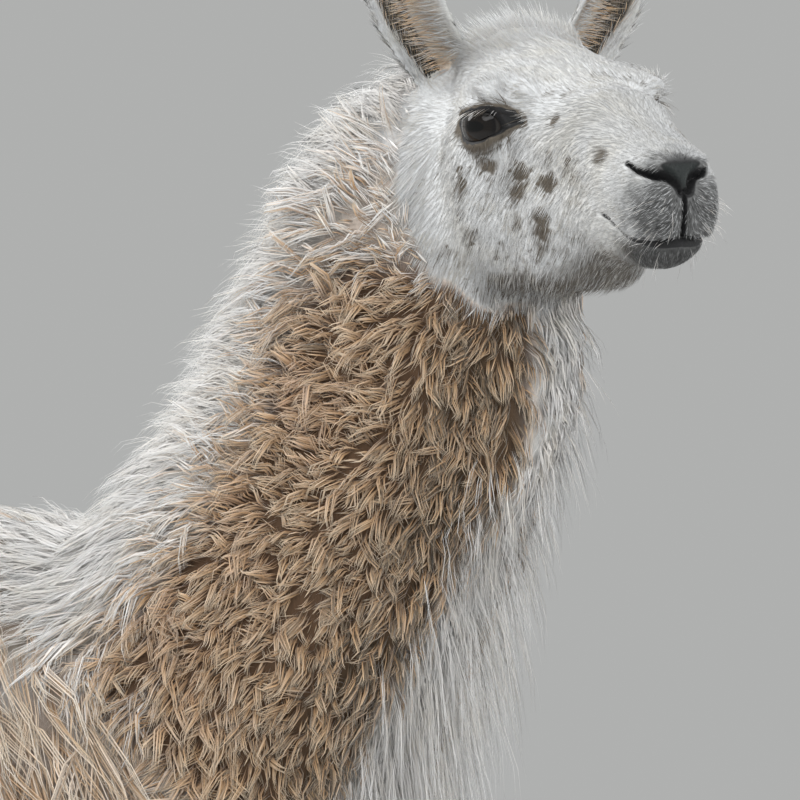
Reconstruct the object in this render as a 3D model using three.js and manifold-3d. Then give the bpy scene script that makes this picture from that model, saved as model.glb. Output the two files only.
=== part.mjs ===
// A standing llama at life size, out to the tips of its fleece.
// Millimetres, +Z up, +X the way the body faces, +Y the animal's left. The origin is on the floor,
// in the middle of the footprint box. The head is turned to the animal's right.
import * as THREE from "three";
import { mergeVertices } from "three/addons/utils/BufferGeometryUtils.js";
import Module from "manifold-3d";

const wasm = await Module();
wasm.setup();

const V = (x, y, z) => new THREE.Vector3(x, y, z);

// ---------------------------------------------------------------- driving dimensions
const BACK = 1188; // top of the fleece over the back
const BELLY = 645; // lowest fleece under the chest
const HALF_WIDTH = 232; // half the width of the fleeced trunk
const GAP = 0.4; // clear space between neighbouring pieces
const SIDES = ["right", "left"];
const sign = (side) => (side === "left" ? 1 : -1);

const HEAD_AT = V(441, -60, 1470); // the point midway between the eyes
const HEAD_TURN = -39; // degrees to the right of the body's heading
const HEAD_NOD = 4; // degrees, nose down
const HEAD_TILT = 3; // degrees, towards the left ear

const EYE_RADIUS = 20;
const EYE_AT = { forward: -11, out: 54, up: -2 };
const EYE_GAZE = 57; // degrees sideways from straight ahead
const EYE_OPENING = { length: 50, height: 26, depth: 26 };

const FORE_HOOF_X = 128;
const HIND_HOOF_X = -694;
const LEG_SPREAD = 101; // a foot's distance from the middle plane
const TOE = { length: 106, width: 40, height: 62, axisHeight: 20, ahead: 36 };

// ---------------------------------------------------------------- materials
const stuff = (color, roughness) => new THREE.MeshStandardMaterial({ color, roughness, metalness: 0 });
const whiteCoat = stuff(0xdcd9d2, 0.9);
const fawnFleece = stuff(0xb9a088, 0.95);
const eyeball = stuff(0x15110f, 0.12);
const nailHorn = stuff(0x4a4038, 0.5);

// ---------------------------------------------------------------- small tools
const lerp = THREE.MathUtils.lerp;
const clamp = THREE.MathUtils.clamp;

// Values between the rows of a table, on a Catmull-Rom spline; t runs from 0 to 1 over all rows.
function between(rows, t) {
  const at = clamp(t, 0, 1) * (rows.length - 1);
  const i = Math.min(Math.floor(at), rows.length - 2);
  const f = at - i;
  const row = (k) => rows[clamp(k, 0, rows.length - 1)];
  return rows[i].map((_, c) => {
    const [a, b, d, e] = [row(i - 1)[c], row(i)[c], row(i + 1)[c], row(i + 2)[c]];
    return 0.5 * (2 * b + (d - a) * f + (2 * a - 5 * b + 4 * d - e) * f * f + (3 * b - a - 3 * d + e) * f ** 3);
  });
}

// A closed body through a row of rings of equal size, capped at both ends.
function bodyOf(rings) {
  const n = rings[0].length;
  const points = rings.flat();
  const middle = (ring) => ring.reduce((s, p) => s.add(p), V(0, 0, 0)).divideScalar(n);
  const first = points.push(middle(rings[0])) - 1;
  const last = points.push(middle(rings.at(-1))) - 1;
  const faces = [];
  for (let i = 0; i < rings.length - 1; i++)
    for (let j = 0; j < n; j++) {
      const [a, b] = [i * n + j, i * n + ((j + 1) % n)];
      faces.push(a, b, b + n, a, b + n, a + n);
    }
  const end = (rings.length - 1) * n;
  for (let j = 0; j < n; j++) {
    faces.push(first, (j + 1) % n, j);
    faces.push(last, end + j, end + ((j + 1) % n));
  }
  const geometry = new THREE.BufferGeometry().setFromPoints(points);
  geometry.setIndex(faces);
  return geometry;
}

// A manifold solid of a closed geometry, turned right side out.
function solid(geometry) {
  const bare = geometry.clone();
  bare.deleteAttribute("normal");
  bare.deleteAttribute("uv");
  const merged = mergeVertices(bare, 1e-4);
  const vertProperties = new Float32Array(merged.attributes.position.array);
  const build = (triVerts) => new wasm.Manifold(new wasm.Mesh({ numProp: 3, vertProperties, triVerts }));
  const faces = new Uint32Array(merged.index.array);
  const made = build(faces);
  return made.volume() > 0 ? made : build(faces.reverse());
}

function geometryOf(made) {
  const { vertProperties, triVerts, numProp, numVert } = made.getMesh();
  const position = new Float32Array(numVert * 3);
  for (let i = 0; i < numVert; i++) position.set(vertProperties.subarray(i * numProp, i * numProp + 3), i * 3);
  return new THREE.BufferGeometry()
    .setAttribute("position", new THREE.BufferAttribute(position, 3))
    .setIndex(new THREE.BufferAttribute(new Uint32Array(triVerts), 1));
}

// A tube of oval rings. Each row is [x, y, z, half depth, half width]; the width lies along Y.
function limb(rows, rings, sides, { grow = 0, power = 2 } = {}) {
  const at = (t) => {
    const [x, y, z] = between(rows, t);
    return V(x, y, z);
  };
  const round = (v) => Math.sign(v) * Math.abs(v) ** (2 / power);
  const made = [];
  for (let i = 0; i <= rings; i++) {
    const t = i / rings;
    const along = at(t + 0.01).sub(at(t - 0.01)).normalize();
    const depth = V(0, 1, 0).cross(along).normalize();
    const width = along.clone().cross(depth);
    const [, , , a, b] = between(rows, t);
    const ring = [];
    for (let j = 0; j < sides; j++) {
      const turn = (2 * Math.PI * j) / sides;
      ring.push(
        at(t)
          .addScaledVector(depth, (a + grow) * round(Math.cos(turn)))
          .addScaledVector(width, (b + grow) * round(Math.sin(turn))),
      );
    }
    made.push(ring);
  }
  return solid(bodyOf(made));
}

function ball(center, radii, segments = 16, rings = 10) {
  return solid(new THREE.SphereGeometry(1, segments, rings).scale(...radii).translate(...center));
}

// Everything on one side of a plane, as a large block.
function halfSpace(point, normal, lift = 0) {
  const size = 4000;
  const block = new THREE.BoxGeometry(size, size, size).translate(0, 0, size / 2 + lift);
  block.applyQuaternion(new THREE.Quaternion().setFromUnitVectors(V(0, 0, 1), normal.clone().normalize()));
  return solid(block.translate(point.x, point.y, point.z));
}

// The two sides of a thin plane cut: [the side the normal points to, the other side].
function part(whole, point, normal) {
  const above = halfSpace(point, normal, GAP / 2);
  const below = halfSpace(point, normal.clone().negate(), GAP / 2);
  return [whole.intersect(above), whole.intersect(below)];
}

// ---------------------------------------------------------------- trunk
// [x, top, bottom, half width] from the rump to the breast.
const TRUNK = [
  [-852, 1010, 925, 36],
  [-836, 1075, 850, 104],
  [-775, 1138, 760, 178],
  [-650, 1178, 705, 218],
  [-480, BACK - 4, 676, 230],
  [-300, BACK - 2, 655, HALF_WIDTH],
  [-120, BACK, BELLY, 228],
  [20, 1158, BELLY - 3, 214],
  [140, 1090, 652, 190],
  [232, 1010, 694, 150],
  [284, 930, 768, 92],
  [300, 880, 825, 34],
];

const TRUNK_MIDDLE = -276;
const TRUNK_SQUARENESS = 2.25; // 2 is a plain oval

function trunkBody(grow = 0) {
  const rows = TRUNK.map(([x, top, bottom, half]) => {
    const end = x + grow * Math.sign(x - TRUNK_MIDDLE);
    return [end, 0, (top + bottom) / 2, (top - bottom) / 2, half];
  });
  return limb(rows, 20, 22, { grow, power: TRUNK_SQUARENESS });
}

// ---------------------------------------------------------------- neck
// [x, z, half depth, half width] from inside the chest up to the back of the skull.
const NECK = [
  [84, 900, 172, 170],
  [106, 960, 178, 165],
  [138, 1035, 174, 152],
  [177, 1100, 165, 138],
  [213, 1156, 158, 126],
  [242, 1203, 153, 116],
  [267, 1257, 148, 108],
  [287, 1315, 140, 101],
  [302, 1378, 122, 91],
  [342, 1436, 104, 78],
  [370, 1462, 72, 61],
];
const NECK_BASE = { at: V(120, 0, 1040), normal: V(0.6, 0, 0.8) };

const neckBody = () => limb(NECK.map(([x, z, a, b]) => [x, 0, z, a, b]), 15, 22);

// ---------------------------------------------------------------- head
// Head measures are from the point between the eyes: x to the nose, y to the left, z up.
const headFrame = new THREE.Matrix4()
  .makeTranslation(...HEAD_AT)
  .multiply(
    new THREE.Matrix4().makeRotationFromEuler(
      new THREE.Euler(...[HEAD_TILT, HEAD_NOD, HEAD_TURN].map(THREE.MathUtils.degToRad), "ZYX"),
    ),
  );
const toWorld = (p) => p.clone().applyMatrix4(headFrame);
const headWays = (v) => v.clone().transformDirection(headFrame);

// Simple volumes as distances from their surface, negative inside.
const egg = (x, y, z, rx, ry, rz) => (p) => {
  const q = V((p.x - x) / rx, (p.y - y) / ry, (p.z - z) / rz);
  const steep = V(q.x / rx, q.y / ry, q.z / rz).length();
  return steep < 1e-9 ? -Math.min(rx, ry, rz) : (q.length() * (q.length() - 1)) / steep;
};
const cone = (a, ra, b, rb) => (p) => {
  const ab = b.clone().sub(a);
  const t = clamp(p.clone().sub(a).dot(ab) / ab.lengthSq(), 0, 1);
  return p.distanceTo(a.clone().addScaledVector(ab, t)) - lerp(ra, rb, t);
};
const pair = (make) => [make(-1), make(1)];

const HEAD_VOLUMES = [
  egg(-50, 0, 4, 72, 58, 56), // cranium
  egg(-84, 0, 30, 50, 48, 38), // crown wool
  egg(-88, 0, -30, 60, 62, 66), // poll, where the neck comes in
  cone(V(-6, 0, -18), 48, V(100, 0, -36), 32), // face
  egg(136, 0, -46, 40, 29, 34), // muzzle
  egg(138, 0, -76, 30, 22, 18), // chin
  egg(-66, 0, -80, 64, 50, 50), // throat latch
  ...pair((s) => cone(V(2, s * 14, 17), 22, V(80, s * 13, 2), 18)), // nasal bridge
  ...pair((s) => cone(V(80, s * 13, 2), 18, V(138, s * 11, -25), 14)),
  ...pair((s) => cone(V(34, s * 21, -12), 25, V(112, s * 16, -26), 18)), // side of the face
  ...pair((s) => egg(2, s * 52, 20, 36, 27, 18)), // brow
  ...pair((s) => cone(V(-34, s * 50, 16), 17, V(-40, s * 52, -24), 16)), // rim behind the eye
  ...pair((s) => cone(V(-40, s * 52, -27), 16, V(14, s * 38, -32), 15)), // rim under the eye
  ...pair((s) => egg(-74, s * 43, -62, 62, 37, 72)), // cheek
  ...pair((s) => cone(V(-24, s * 36, -58), 30, V(98, s * 13, -56), 21)), // side of the mouth
  ...pair((s) => cone(V(-50, s * 32, -96), 30, V(30, s * 20, -88), 25)), // jaw
  ...pair((s) => cone(V(30, s * 20, -88), 24, V(104, s * 9, -70), 15)), // jaw bar
  ...pair((s) => egg(150, s * 17, -29, 19, 13, 13)), // nostril wing
  ...pair((s) => egg(152, s * 17, -54, 24, 16, 19)), // upper lip
];
const HEAD_BLEND = 9; // how widely the volumes run into each other
const BLEND_SWELL = 0.55; // share of the blend taken back off the swelling it makes
const HEAD_REACH = 260; // further than any point of the head from its inner line
const REACH_STEP = 6;

function headDistance(p) {
  const near = HEAD_VOLUMES.map((volume) => volume(p));
  const least = Math.min(...near);
  const sum = near.reduce((s, d) => s + Math.exp((least - d) / HEAD_BLEND), 0);
  return least - HEAD_BLEND * (Math.log(sum) - BLEND_SWELL);
}

// The distance from an inner point, along a direction, to the head's surface.
function reach(from, way, grow) {
  let inner = 0;
  let outer = REACH_STEP;
  while (headDistance(from.clone().addScaledVector(way, outer)) < grow && outer < HEAD_REACH) {
    inner = outer;
    outer += REACH_STEP;
  }
  for (let k = 0; k < 12; k++) {
    const mid = (inner + outer) / 2;
    if (headDistance(from.clone().addScaledVector(way, mid)) < grow) inner = mid;
    else outer = mid;
  }
  return inner;
}

// Rings round a line inside the head, fanning out past both of its ends.
function headBody(grow = 0) {
  const [back, front] = [V(-84, 0, -34), V(134, 0, -46)];
  const [backFan, middle, frontFan, sides] = [5, 16, 6, 26];
  const along = front.clone().sub(back).normalize();
  const [width, up] = [V(0, 1, 0), along.clone().cross(V(0, 1, 0))];
  const stations = [];
  for (let i = 1; i < backFan; i++) stations.push([0, 90 + 90 * (1 - i / backFan)]);
  for (let i = 0; i <= middle; i++) stations.push([i / middle, 90]);
  for (let i = 1; i < frontFan; i++) stations.push([1, 90 * (1 - i / frontFan)]);
  const rings = stations.map(([t, polar]) => {
    const from = back.clone().lerp(front, t);
    const lean = THREE.MathUtils.degToRad(polar);
    return Array.from({ length: sides }, (_, j) => {
      const turn = (2 * Math.PI * j) / sides;
      const way = along
        .clone()
        .multiplyScalar(Math.cos(lean))
        .addScaledVector(width, Math.sin(lean) * Math.cos(turn))
        .addScaledVector(up, Math.sin(lean) * Math.sin(turn));
      return from.clone().addScaledVector(way, reach(from, way, grow));
    });
  });
  return solid(bodyOf(rings).applyMatrix4(headFrame));
}

// The line of the closed mouth in side view, from in front of the lips to behind the jaw.
const MOUTH_LINE = [
  [230, -66],
  [190, -66],
  [156, -70],
  [118, -56],
  [60, -78],
  [-20, -92],
  [-96, -96],
  [-150, -40],
  [-260, 60],
];
const MOUTH_GAP = 0.5;
const HEAD_CUT = { at: V(-118, 0, -85), normal: V(0.85, 0, 0.53) }; // where the head leaves the neck

// The room below the mouth line, or above it, as a block as wide as the head.
function beyondMouth(below) {
  const edge = MOUTH_LINE.map(([x, z]) => new THREE.Vector2(x, z + (below ? -MOUTH_GAP : 0)));
  const far = below ? -400 : 400;
  const outline = new THREE.Shape([...edge, new THREE.Vector2(-260, far), new THREE.Vector2(230, far)]);
  const block = new THREE.ExtrudeGeometry(outline, { depth: 400, bevelEnabled: false });
  return solid(block.rotateX(Math.PI / 2).translate(0, 200, 0).applyMatrix4(headFrame));
}

// ---------------------------------------------------------------- eyes and ears
const eyePoint = (side) => V(EYE_AT.forward, sign(side) * EYE_AT.out, EYE_AT.up);
const eyeSolid = (side, grow = 0) => ball(toWorld(eyePoint(side)), Array(3).fill(EYE_RADIUS + grow), 14, 8);

// The almond-shaped hollow between the lids, in front of the eyeball.
function openingSolid(side) {
  const turn = THREE.MathUtils.degToRad(EYE_GAZE);
  const gaze = V(Math.cos(turn), sign(side) * Math.sin(turn), 0);
  const { length, height, depth } = EYE_OPENING;
  const almond = new THREE.SphereGeometry(0.5, 16, 10).scale(length, height, depth);
  const place = eyePoint(side).addScaledVector(gaze, EYE_RADIUS);
  almond.applyMatrix4(
    new THREE.Matrix4().makeBasis(V(0, 0, 1).cross(gaze), V(0, 0, 1), gaze).setPosition(place),
  );
  return solid(almond.applyMatrix4(headFrame));
}

// A long cupped leaf, its tip bent inwards, open to the front.
// [forward, out, up, half width, degrees of arc in the cup] from inside the skull to the tip.
const EAR = [
  [-100, 28, 4, 17, 170],
  [-99, 50, 32, 21, 160],
  [-95, 73, 66, 25, 140],
  [-89, 87, 100, 26, 120],
  [-83, 92, 132, 20, 100],
  [-81, 89, 155, 11, 90],
  [-81, 84, 168, 1.5, 80],
];
const EAR_WALL = 5.5;
const EAR_SWING = 0.25; // how far the open side turns outwards
const EAR_HOLLOW = 0.6; // where the cup's floor lies, as a share of its radius
const EAR_LIP = 0.94; // the inner face is a little narrower than the outer

function earSolid(side) {
  const s = sign(side);
  const [rings, across] = [11, 6];
  const at = (t) => {
    const [x, y, z] = between(EAR, t);
    return V(x, s * y, z);
  };
  const made = [];
  for (let i = 0; i <= rings; i++) {
    const t = i / rings;
    const [, , , half, cup] = between(EAR, t);
    const along = at(t + 0.01).sub(at(t - 0.01)).normalize();
    const front = V(1, s * EAR_SWING, 0);
    const facing = front.addScaledVector(along, -front.dot(along)).normalize();
    const sideways = along.clone().cross(facing);
    const radius = half / Math.sin(THREE.MathUtils.degToRad(cup / 2));
    const arc = (r, u) => {
      const turn = THREE.MathUtils.degToRad(cup * u);
      return at(t)
        .addScaledVector(sideways, r * Math.sin(turn))
        .addScaledVector(facing, radius * EAR_HOLLOW - r * Math.cos(turn));
    };
    const thick = Math.min(EAR_WALL, half * 0.8);
    const ring = [];
    for (let j = 0; j <= across; j++) ring.push(arc(radius + thick / 2, j / across - 0.5));
    for (let j = across; j >= 0; j--) ring.push(arc(radius - thick / 2, (j / across - 0.5) * EAR_LIP));
    made.push(ring);
  }
  return solid(bodyOf(made).applyMatrix4(headFrame));
}

// ---------------------------------------------------------------- legs
// [x, distance from the middle plane, z, half depth, half width], from inside the trunk to the fetlock.
const FORELEG = [
  [92, 104, 850, 112, 74],
  [104, 112, 760, 104, 72],
  [116, 114, 680, 86, 64],
  [126, 109, 570, 60, 50],
  [131, 103, 470, 46, 41],
  [134, 101, 400, 43, 41],
  [131, 101, 335, 34, 33],
  [129, LEG_SPREAD, 230, 29, 28],
  [127, LEG_SPREAD, 140, 34, 33],
  [134, LEG_SPREAD, 84, 33, 36],
  [140, LEG_SPREAD, 44, 34, 36],
];
const HINDLEG = [
  [-600, 96, 900, 168, 96],
  [-606, 116, 790, 160, 94],
  [-612, 124, 690, 128, 80],
  [-650, 119, 590, 84, 60],
  [-700, 111, 505, 53, 44],
  [-724, 106, 440, 47, 38],
  [-722, 103, 370, 36, 32],
  [-712, LEG_SPREAD, 250, 31, 29],
  [-702, LEG_SPREAD, 145, 35, 34],
  [-690, LEG_SPREAD, 86, 33, 36],
  [-682, LEG_SPREAD, 44, 34, 36],
];
const KNEE = { fore: 392, hind: 432 }; // height of the cut through the knee and the hock
const FETLOCK = 118; // height of the cut above the foot

const legBody = (rows, side) => limb(rows.map(([x, y, ...rest]) => [x, sign(side) * y, ...rest]), 14, 10);

const toeCentre = (hoofX, side, inner) => {
  const y = sign(side) * (LEG_SPREAD + (inner ? -1 : 1) * (TOE.width / 2 - 1));
  return V(hoofX + TOE.ahead, y, TOE.axisHeight);
};
const toeSolid = (hoofX, side, inner, grow = 0) => {
  const radii = [TOE.length, TOE.width, TOE.height].map((size) => size / 2 + grow);
  return ball(toeCentre(hoofX, side, inner), radii, 8, 6);
};

// A short hooked nail on the front of a toe.
function nailSolid(hoofX, side, inner) {
  const c = toeCentre(hoofX, side, inner);
  const rows = [
    [34, 14, 10, 12],
    [48, 8, 12, 12],
    [60, -4, 9, 8],
    [67, -13, 3, 2.5],
  ];
  return limb(rows.map(([x, z, a, b]) => [c.x + x, c.y, c.z + z, a, b]), 3, 5);
}

// ---------------------------------------------------------------- tail
// [x, z, half depth, half width] from the rump down to the tip of its wool.
const TAIL = [
  [-770, 1088, 40, 42],
  [-830, 1082, 56, 56],
  [-872, 1040, 64, 62],
  [-892, 960, 60, 60],
  [-896, 880, 46, 48],
  [-892, 815, 24, 26],
  [-888, 785, 6, 6],
];
const tailBody = () => limb(TAIL.map(([x, z, a, b]) => [x, 0, z, a, b]), 11, 12);

// ---------------------------------------------------------------- assembly
const llama = new THREE.Group();

function add(name, made, material) {
  const mesh = new THREE.Mesh(geometryOf(made), material);
  mesh.name = name;
  llama.add(mesh);
}

const trunkAlone = trunkBody();
const trunkRoom = trunkBody(GAP);
const headAlone = headBody();
const fore = trunkAlone.add(neckBody()).add(headAlone);
const [aboveBase, trunk] = part(fore, NECK_BASE.at, NECK_BASE.normal);
const [headWhole, neck] = part(aboveBase, toWorld(HEAD_CUT.at), headWays(HEAD_CUT.normal));
const sockets = SIDES.map((side) => eyeSolid(side, GAP).add(openingSolid(side)));
const face = sockets.reduce((whole, socket) => whole.subtract(socket), headWhole);

add("trunk", trunk, whiteCoat);
add("neck", neck, fawnFleece);
add("head", face.intersect(beyondMouth(false)), whiteCoat);
add("lower_jaw", face.intersect(beyondMouth(true)), whiteCoat);
add("tail", tailBody().subtract(trunkRoom), whiteCoat);

const headRoom = headBody(GAP).add(neckBody());
for (const side of SIDES) {
  add(`eye_${side}`, eyeSolid(side), eyeball);
  add(`ear_${side}`, earSolid(side).subtract(headRoom), whiteCoat);
}

for (const [end, rows, hoofX] of [
  ["fore", FORELEG, FORE_HOOF_X],
  ["hind", HINDLEG, HIND_HOOF_X],
])
  for (const side of SIDES) {
    const toes = [true, false].map((inner) => toeSolid(hoofX, side, inner));
    const leg = legBody(rows, side)
      .add(toes[0])
      .add(toes[1])
      .intersect(halfSpace(V(0, 0, 0), V(0, 0, 1)));
    const [overFoot, foot] = part(leg, V(0, 0, FETLOCK), V(0, 0, 1));
    const [upper, shank] = part(overFoot, V(0, 0, KNEE[end]), V(0, 0, 1));
    add(`${end}leg_${side}_upper`, upper.subtract(trunkRoom), whiteCoat);
    add(`${end}leg_${side}_shank`, shank, whiteCoat);
    add(`${end}leg_${side}_foot`, foot, whiteCoat);
    for (const inner of [true, false]) {
      const nail = nailSolid(hoofX, side, inner).subtract(toeSolid(hoofX, side, inner, GAP));
      add(`nail_${end}_${side}_${inner ? "inner" : "outer"}`, nail, nailHorn);
    }
  }

// Stand the animal on the floor with its footprint box centred on the origin.
const box = new THREE.Box3().setFromObject(llama);
llama.position.set(-(box.min.x + box.max.x) / 2, -(box.min.y + box.max.y) / 2, -box.min.z);

const model = new THREE.Group();
model.add(llama);
export default model;
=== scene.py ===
"""A standing llama at life size, with its head turned to its right.

One skin covers the whole body, from the nose to the toes. Over it lies the coat, of closed tapered
strands gathered in locks: curly fawn wool on the neck, long cream fleece on the trunk, and short white
hair on the face and legs.
Lengths are metres in the model's own frame: +X ahead, +Y the animal's left, +Z up, the floor at zero.
"""

import math

import bmesh
import bpy
import numpy as np
from mathutils import Euler, Matrix, Vector
from mathutils.bvhtree import BVHTree


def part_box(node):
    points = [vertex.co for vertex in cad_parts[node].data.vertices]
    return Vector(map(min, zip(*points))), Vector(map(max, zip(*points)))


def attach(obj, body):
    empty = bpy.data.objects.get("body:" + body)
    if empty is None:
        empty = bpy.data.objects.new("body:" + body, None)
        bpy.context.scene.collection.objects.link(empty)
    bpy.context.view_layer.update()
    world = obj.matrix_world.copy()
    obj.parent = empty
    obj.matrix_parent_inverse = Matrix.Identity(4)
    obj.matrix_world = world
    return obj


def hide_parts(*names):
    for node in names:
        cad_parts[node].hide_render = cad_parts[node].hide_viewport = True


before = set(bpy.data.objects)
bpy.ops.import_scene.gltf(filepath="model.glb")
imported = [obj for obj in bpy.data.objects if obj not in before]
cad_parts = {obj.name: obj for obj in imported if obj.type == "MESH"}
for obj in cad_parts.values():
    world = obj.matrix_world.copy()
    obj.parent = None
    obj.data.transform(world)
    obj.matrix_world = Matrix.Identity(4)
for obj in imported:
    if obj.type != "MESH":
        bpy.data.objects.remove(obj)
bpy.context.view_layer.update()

MM = 0.001
SIDES = {"right": -1.0, "left": 1.0}
TAU = 2 * math.pi

# ------------------------------------------------------------------ the head's own frame
# Head measures are (forward, left, up) from the point between the eyes.
HEAD_TURN, HEAD_NOD, HEAD_TILT = -39.0, 4.0, 3.0  # degrees
EYE_RADIUS = 20 * MM
EYE_FORWARD = -11 * MM
EYE_OUT = 54 * MM
EYE_UP = -2 * MM
EYE_GAZE = 57.0  # degrees sideways from straight ahead


def box_centre(node):
    low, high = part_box(node)
    return np.array((low + high) / 2)


def head_rotation():
    turn = Matrix.Rotation(math.radians(HEAD_TURN), 3, "Z")
    nod = Matrix.Rotation(math.radians(HEAD_NOD), 3, "Y")
    tilt = Matrix.Rotation(math.radians(HEAD_TILT), 3, "X")
    return np.array(turn @ nod @ tilt)


HEAD_AXES = head_rotation()
BETWEEN_EYES = (box_centre("eye_right") + box_centre("eye_left")) / 2
HEAD_AT = BETWEEN_EYES - HEAD_AXES @ np.array((EYE_FORWARD, 0.0, EYE_UP))


def to_head(points):
    return (points - HEAD_AT) @ HEAD_AXES


def from_head(points):
    return HEAD_AT + np.asarray(points) @ HEAD_AXES.T


# ------------------------------------------------------------------ small maths
def smooth(low, high, value):
    """Rises softly from 0 at low to 1 at high."""
    t = np.clip((value - low) / (high - low), 0.0, 1.0)
    return t * t * (3 - 2 * t)


def unit(vectors):
    return vectors / np.maximum(np.linalg.norm(vectors, axis=1, keepdims=True), 1e-12)


def dots(a, b):
    return np.einsum("ij,ij->i", a, b)


def hump(value, middle, width):
    """1 at the middle, falling away on both sides of it over the width."""
    return np.exp(-(((value - middle) / width) ** 2))


def ripple(points, wavelength, seed):
    """A smooth random field between about -1 and 1, the sum of a few slanted waves."""
    random = np.random.default_rng(seed)
    total = np.zeros(len(points))
    for _ in range(6):
        way = unit(random.normal(size=(1, 3)))[0]
        reach = wavelength * random.uniform(0.6, 1.5)
        total += np.sin(points @ way * TAU / reach + random.uniform(0, TAU))
    return total / 3.0


# ------------------------------------------------------------------ mesh helpers
def new_object(name, mesh):
    piece = bpy.data.objects.new(name, mesh)
    bpy.context.scene.collection.objects.link(piece)
    return piece


def points_of(mesh, what="co"):
    values = np.empty(len(mesh.vertices) * 3, np.float32)
    mesh.vertices.foreach_get(what, values)
    return values.reshape(-1, 3).astype(float)


def move_points(mesh, points):
    mesh.vertices.foreach_set("co", points.astype(np.float32).ravel())
    mesh.update()


def put_attribute(mesh, name, values):
    layer = mesh.attributes.new(name, "FLOAT_VECTOR", "POINT")
    layer.data.foreach_set("vector", values.astype(np.float32).ravel())


def edges_of(mesh):
    pairs = np.empty(len(mesh.edges) * 2, np.int32)
    mesh.edges.foreach_get("vertices", pairs)
    return pairs.reshape(-1, 2)


def neighbour_mean(values, edges):
    """Each point's mean over its neighbours."""
    count = np.bincount(edges.ravel(), minlength=len(values))
    a = np.concatenate((edges[:, 0], edges[:, 1]))
    b = np.concatenate((edges[:, 1], edges[:, 0]))
    columns = values.reshape(len(values), -1)
    total = [np.bincount(a, weights=columns[b, c], minlength=len(values)) for c in range(columns.shape[1])]
    mean = np.stack(total, axis=1) / np.maximum(count, 1)[:, None]
    return mean.reshape(values.shape)


def relax(values, edges, times, amount=0.5):
    for _ in range(times):
        values = values + (neighbour_mean(values, edges) - values) * np.asarray(amount)
    return values


def applied(piece, kind, **settings):
    """The piece's mesh after one modifier."""
    modifier = piece.modifiers.new(kind.title(), kind)
    for key, value in settings.items():
        setattr(modifier, key, value)
    graph = bpy.context.evaluated_depsgraph_get()
    mesh = bpy.data.meshes.new_from_object(piece.evaluated_get(graph))
    piece.modifiers.remove(modifier)
    piece.data = mesh
    return mesh


def finished(piece, stands_for=()):
    """Shades a piece softly, hangs it on the root body and hides the nodes that it stands for."""
    piece.data.polygons.foreach_set("use_smooth", np.ones(len(piece.data.polygons), bool))
    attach(piece, "root")
    if stands_for:
        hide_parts(*stands_for)
    return piece


# ------------------------------------------------------------------ the flesh, as the frame gives it
SKULL = ["head", "lower_jaw"]
EARS = [f"ear_{side}" for side in SIDES]
HEAD_FLESH = SKULL + EARS
LEGS = [f"{end}leg_{side}" for end in ("fore", "hind") for side in SIDES]
LEG_FLESH = [f"{leg}_{part}" for leg in LEGS for part in ("upper", "shank", "foot")]
BODY_FLESH = ["trunk", "neck", "tail"] + LEG_FLESH
FLESH = HEAD_FLESH + BODY_FLESH
SWELL = 1.2 * MM  # closes the thin gaps between neighbouring solids
EYE_SWELL = 2.5 * MM  # and lifts the skin over the eyeballs


def cut(shape, point, way):
    """Keeps the side of a plane that the way points to, and closes the cut."""
    geometry = shape.verts[:] + shape.edges[:] + shape.faces[:]
    plane = {"plane_co": Vector(point), "plane_no": Vector(way)}
    bmesh.ops.bisect_plane(shape, geom=geometry, clear_inner=True, **plane)
    rim = [edge for edge in shape.edges if edge.is_boundary]
    bmesh.ops.holes_fill(shape, edges=rim)


def swollen(node, swell=SWELL, kept=None):
    """A bmesh copy of a CAD node, grown a little; kept = (point, way) keeps one side of a plane."""
    shape = bmesh.new()
    shape.from_mesh(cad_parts[node].data)
    bmesh.ops.remove_doubles(shape, verts=shape.verts, dist=1e-5)
    if kept is not None:
        cut(shape, *kept)
    bmesh.ops.recalc_face_normals(shape, faces=shape.faces)
    shape.normal_update()
    for vert in shape.verts:
        vert.co += vert.normal * swell
    return shape


def joined(name, shapes):
    whole = bmesh.new()
    for shape in shapes:
        part = bpy.data.meshes.new("part")
        shape.to_mesh(part)
        shape.free()
        whole.from_mesh(part)
        bpy.data.meshes.remove(part)
    mesh = bpy.data.meshes.new(name)
    whole.to_mesh(mesh)
    whole.free()
    return new_object(name, mesh)


def all_flesh():
    """Every flesh node's triangles in one search tree, and the node that each triangle came from."""
    points, faces, owner = [], [], []
    for index, node in enumerate(FLESH):
        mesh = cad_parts[node].data
        start = len(points)
        points += [vert.co.copy() for vert in mesh.vertices]
        faces += [tuple(start + corner for corner in face.vertices) for face in mesh.polygons]
        owner += [index] * len(mesh.polygons)
    return BVHTree.FromPolygons(points, faces), np.array(owner)


FLESH_TREE, FLESH_OWNER = all_flesh()


def nearest_node(points):
    """The index in FLESH of the node nearest to each point."""
    return np.array([FLESH_OWNER[FLESH_TREE.find_nearest(Vector(point))[2]] for point in points])


def belongs(labels, names):
    return np.isin(labels, [FLESH.index(name) for name in names])


# ------------------------------------------------------------------ landmarks of the neck and body
# Body places are given from BODY_AT, the floor under the dip where the neck meets the back.
BODY_AT = np.array((HEAD_AT[0] - 0.441, 0.0, 0.0))
HEAD_CUT_AT = from_head((-0.118, 0.0, -0.085))
HEAD_CUT_WAY = HEAD_AXES @ np.array((0.85, 0.0, 0.53))
HEAD_CUT_WAY /= np.linalg.norm(HEAD_CUT_WAY)

# The neck's middle line, from inside the chest to the skull.
NECK_LINE = BODY_AT + np.array((
    (0.084, 0.0, 0.900),
    (0.138, 0.0, 1.035),
    (0.177, 0.0, 1.100),
    (0.242, 0.0, 1.203),
    (0.287, 0.0, 1.315),
    (0.302, 0.0, 1.378),
    (0.342, 0.0, 1.436),
))


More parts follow.
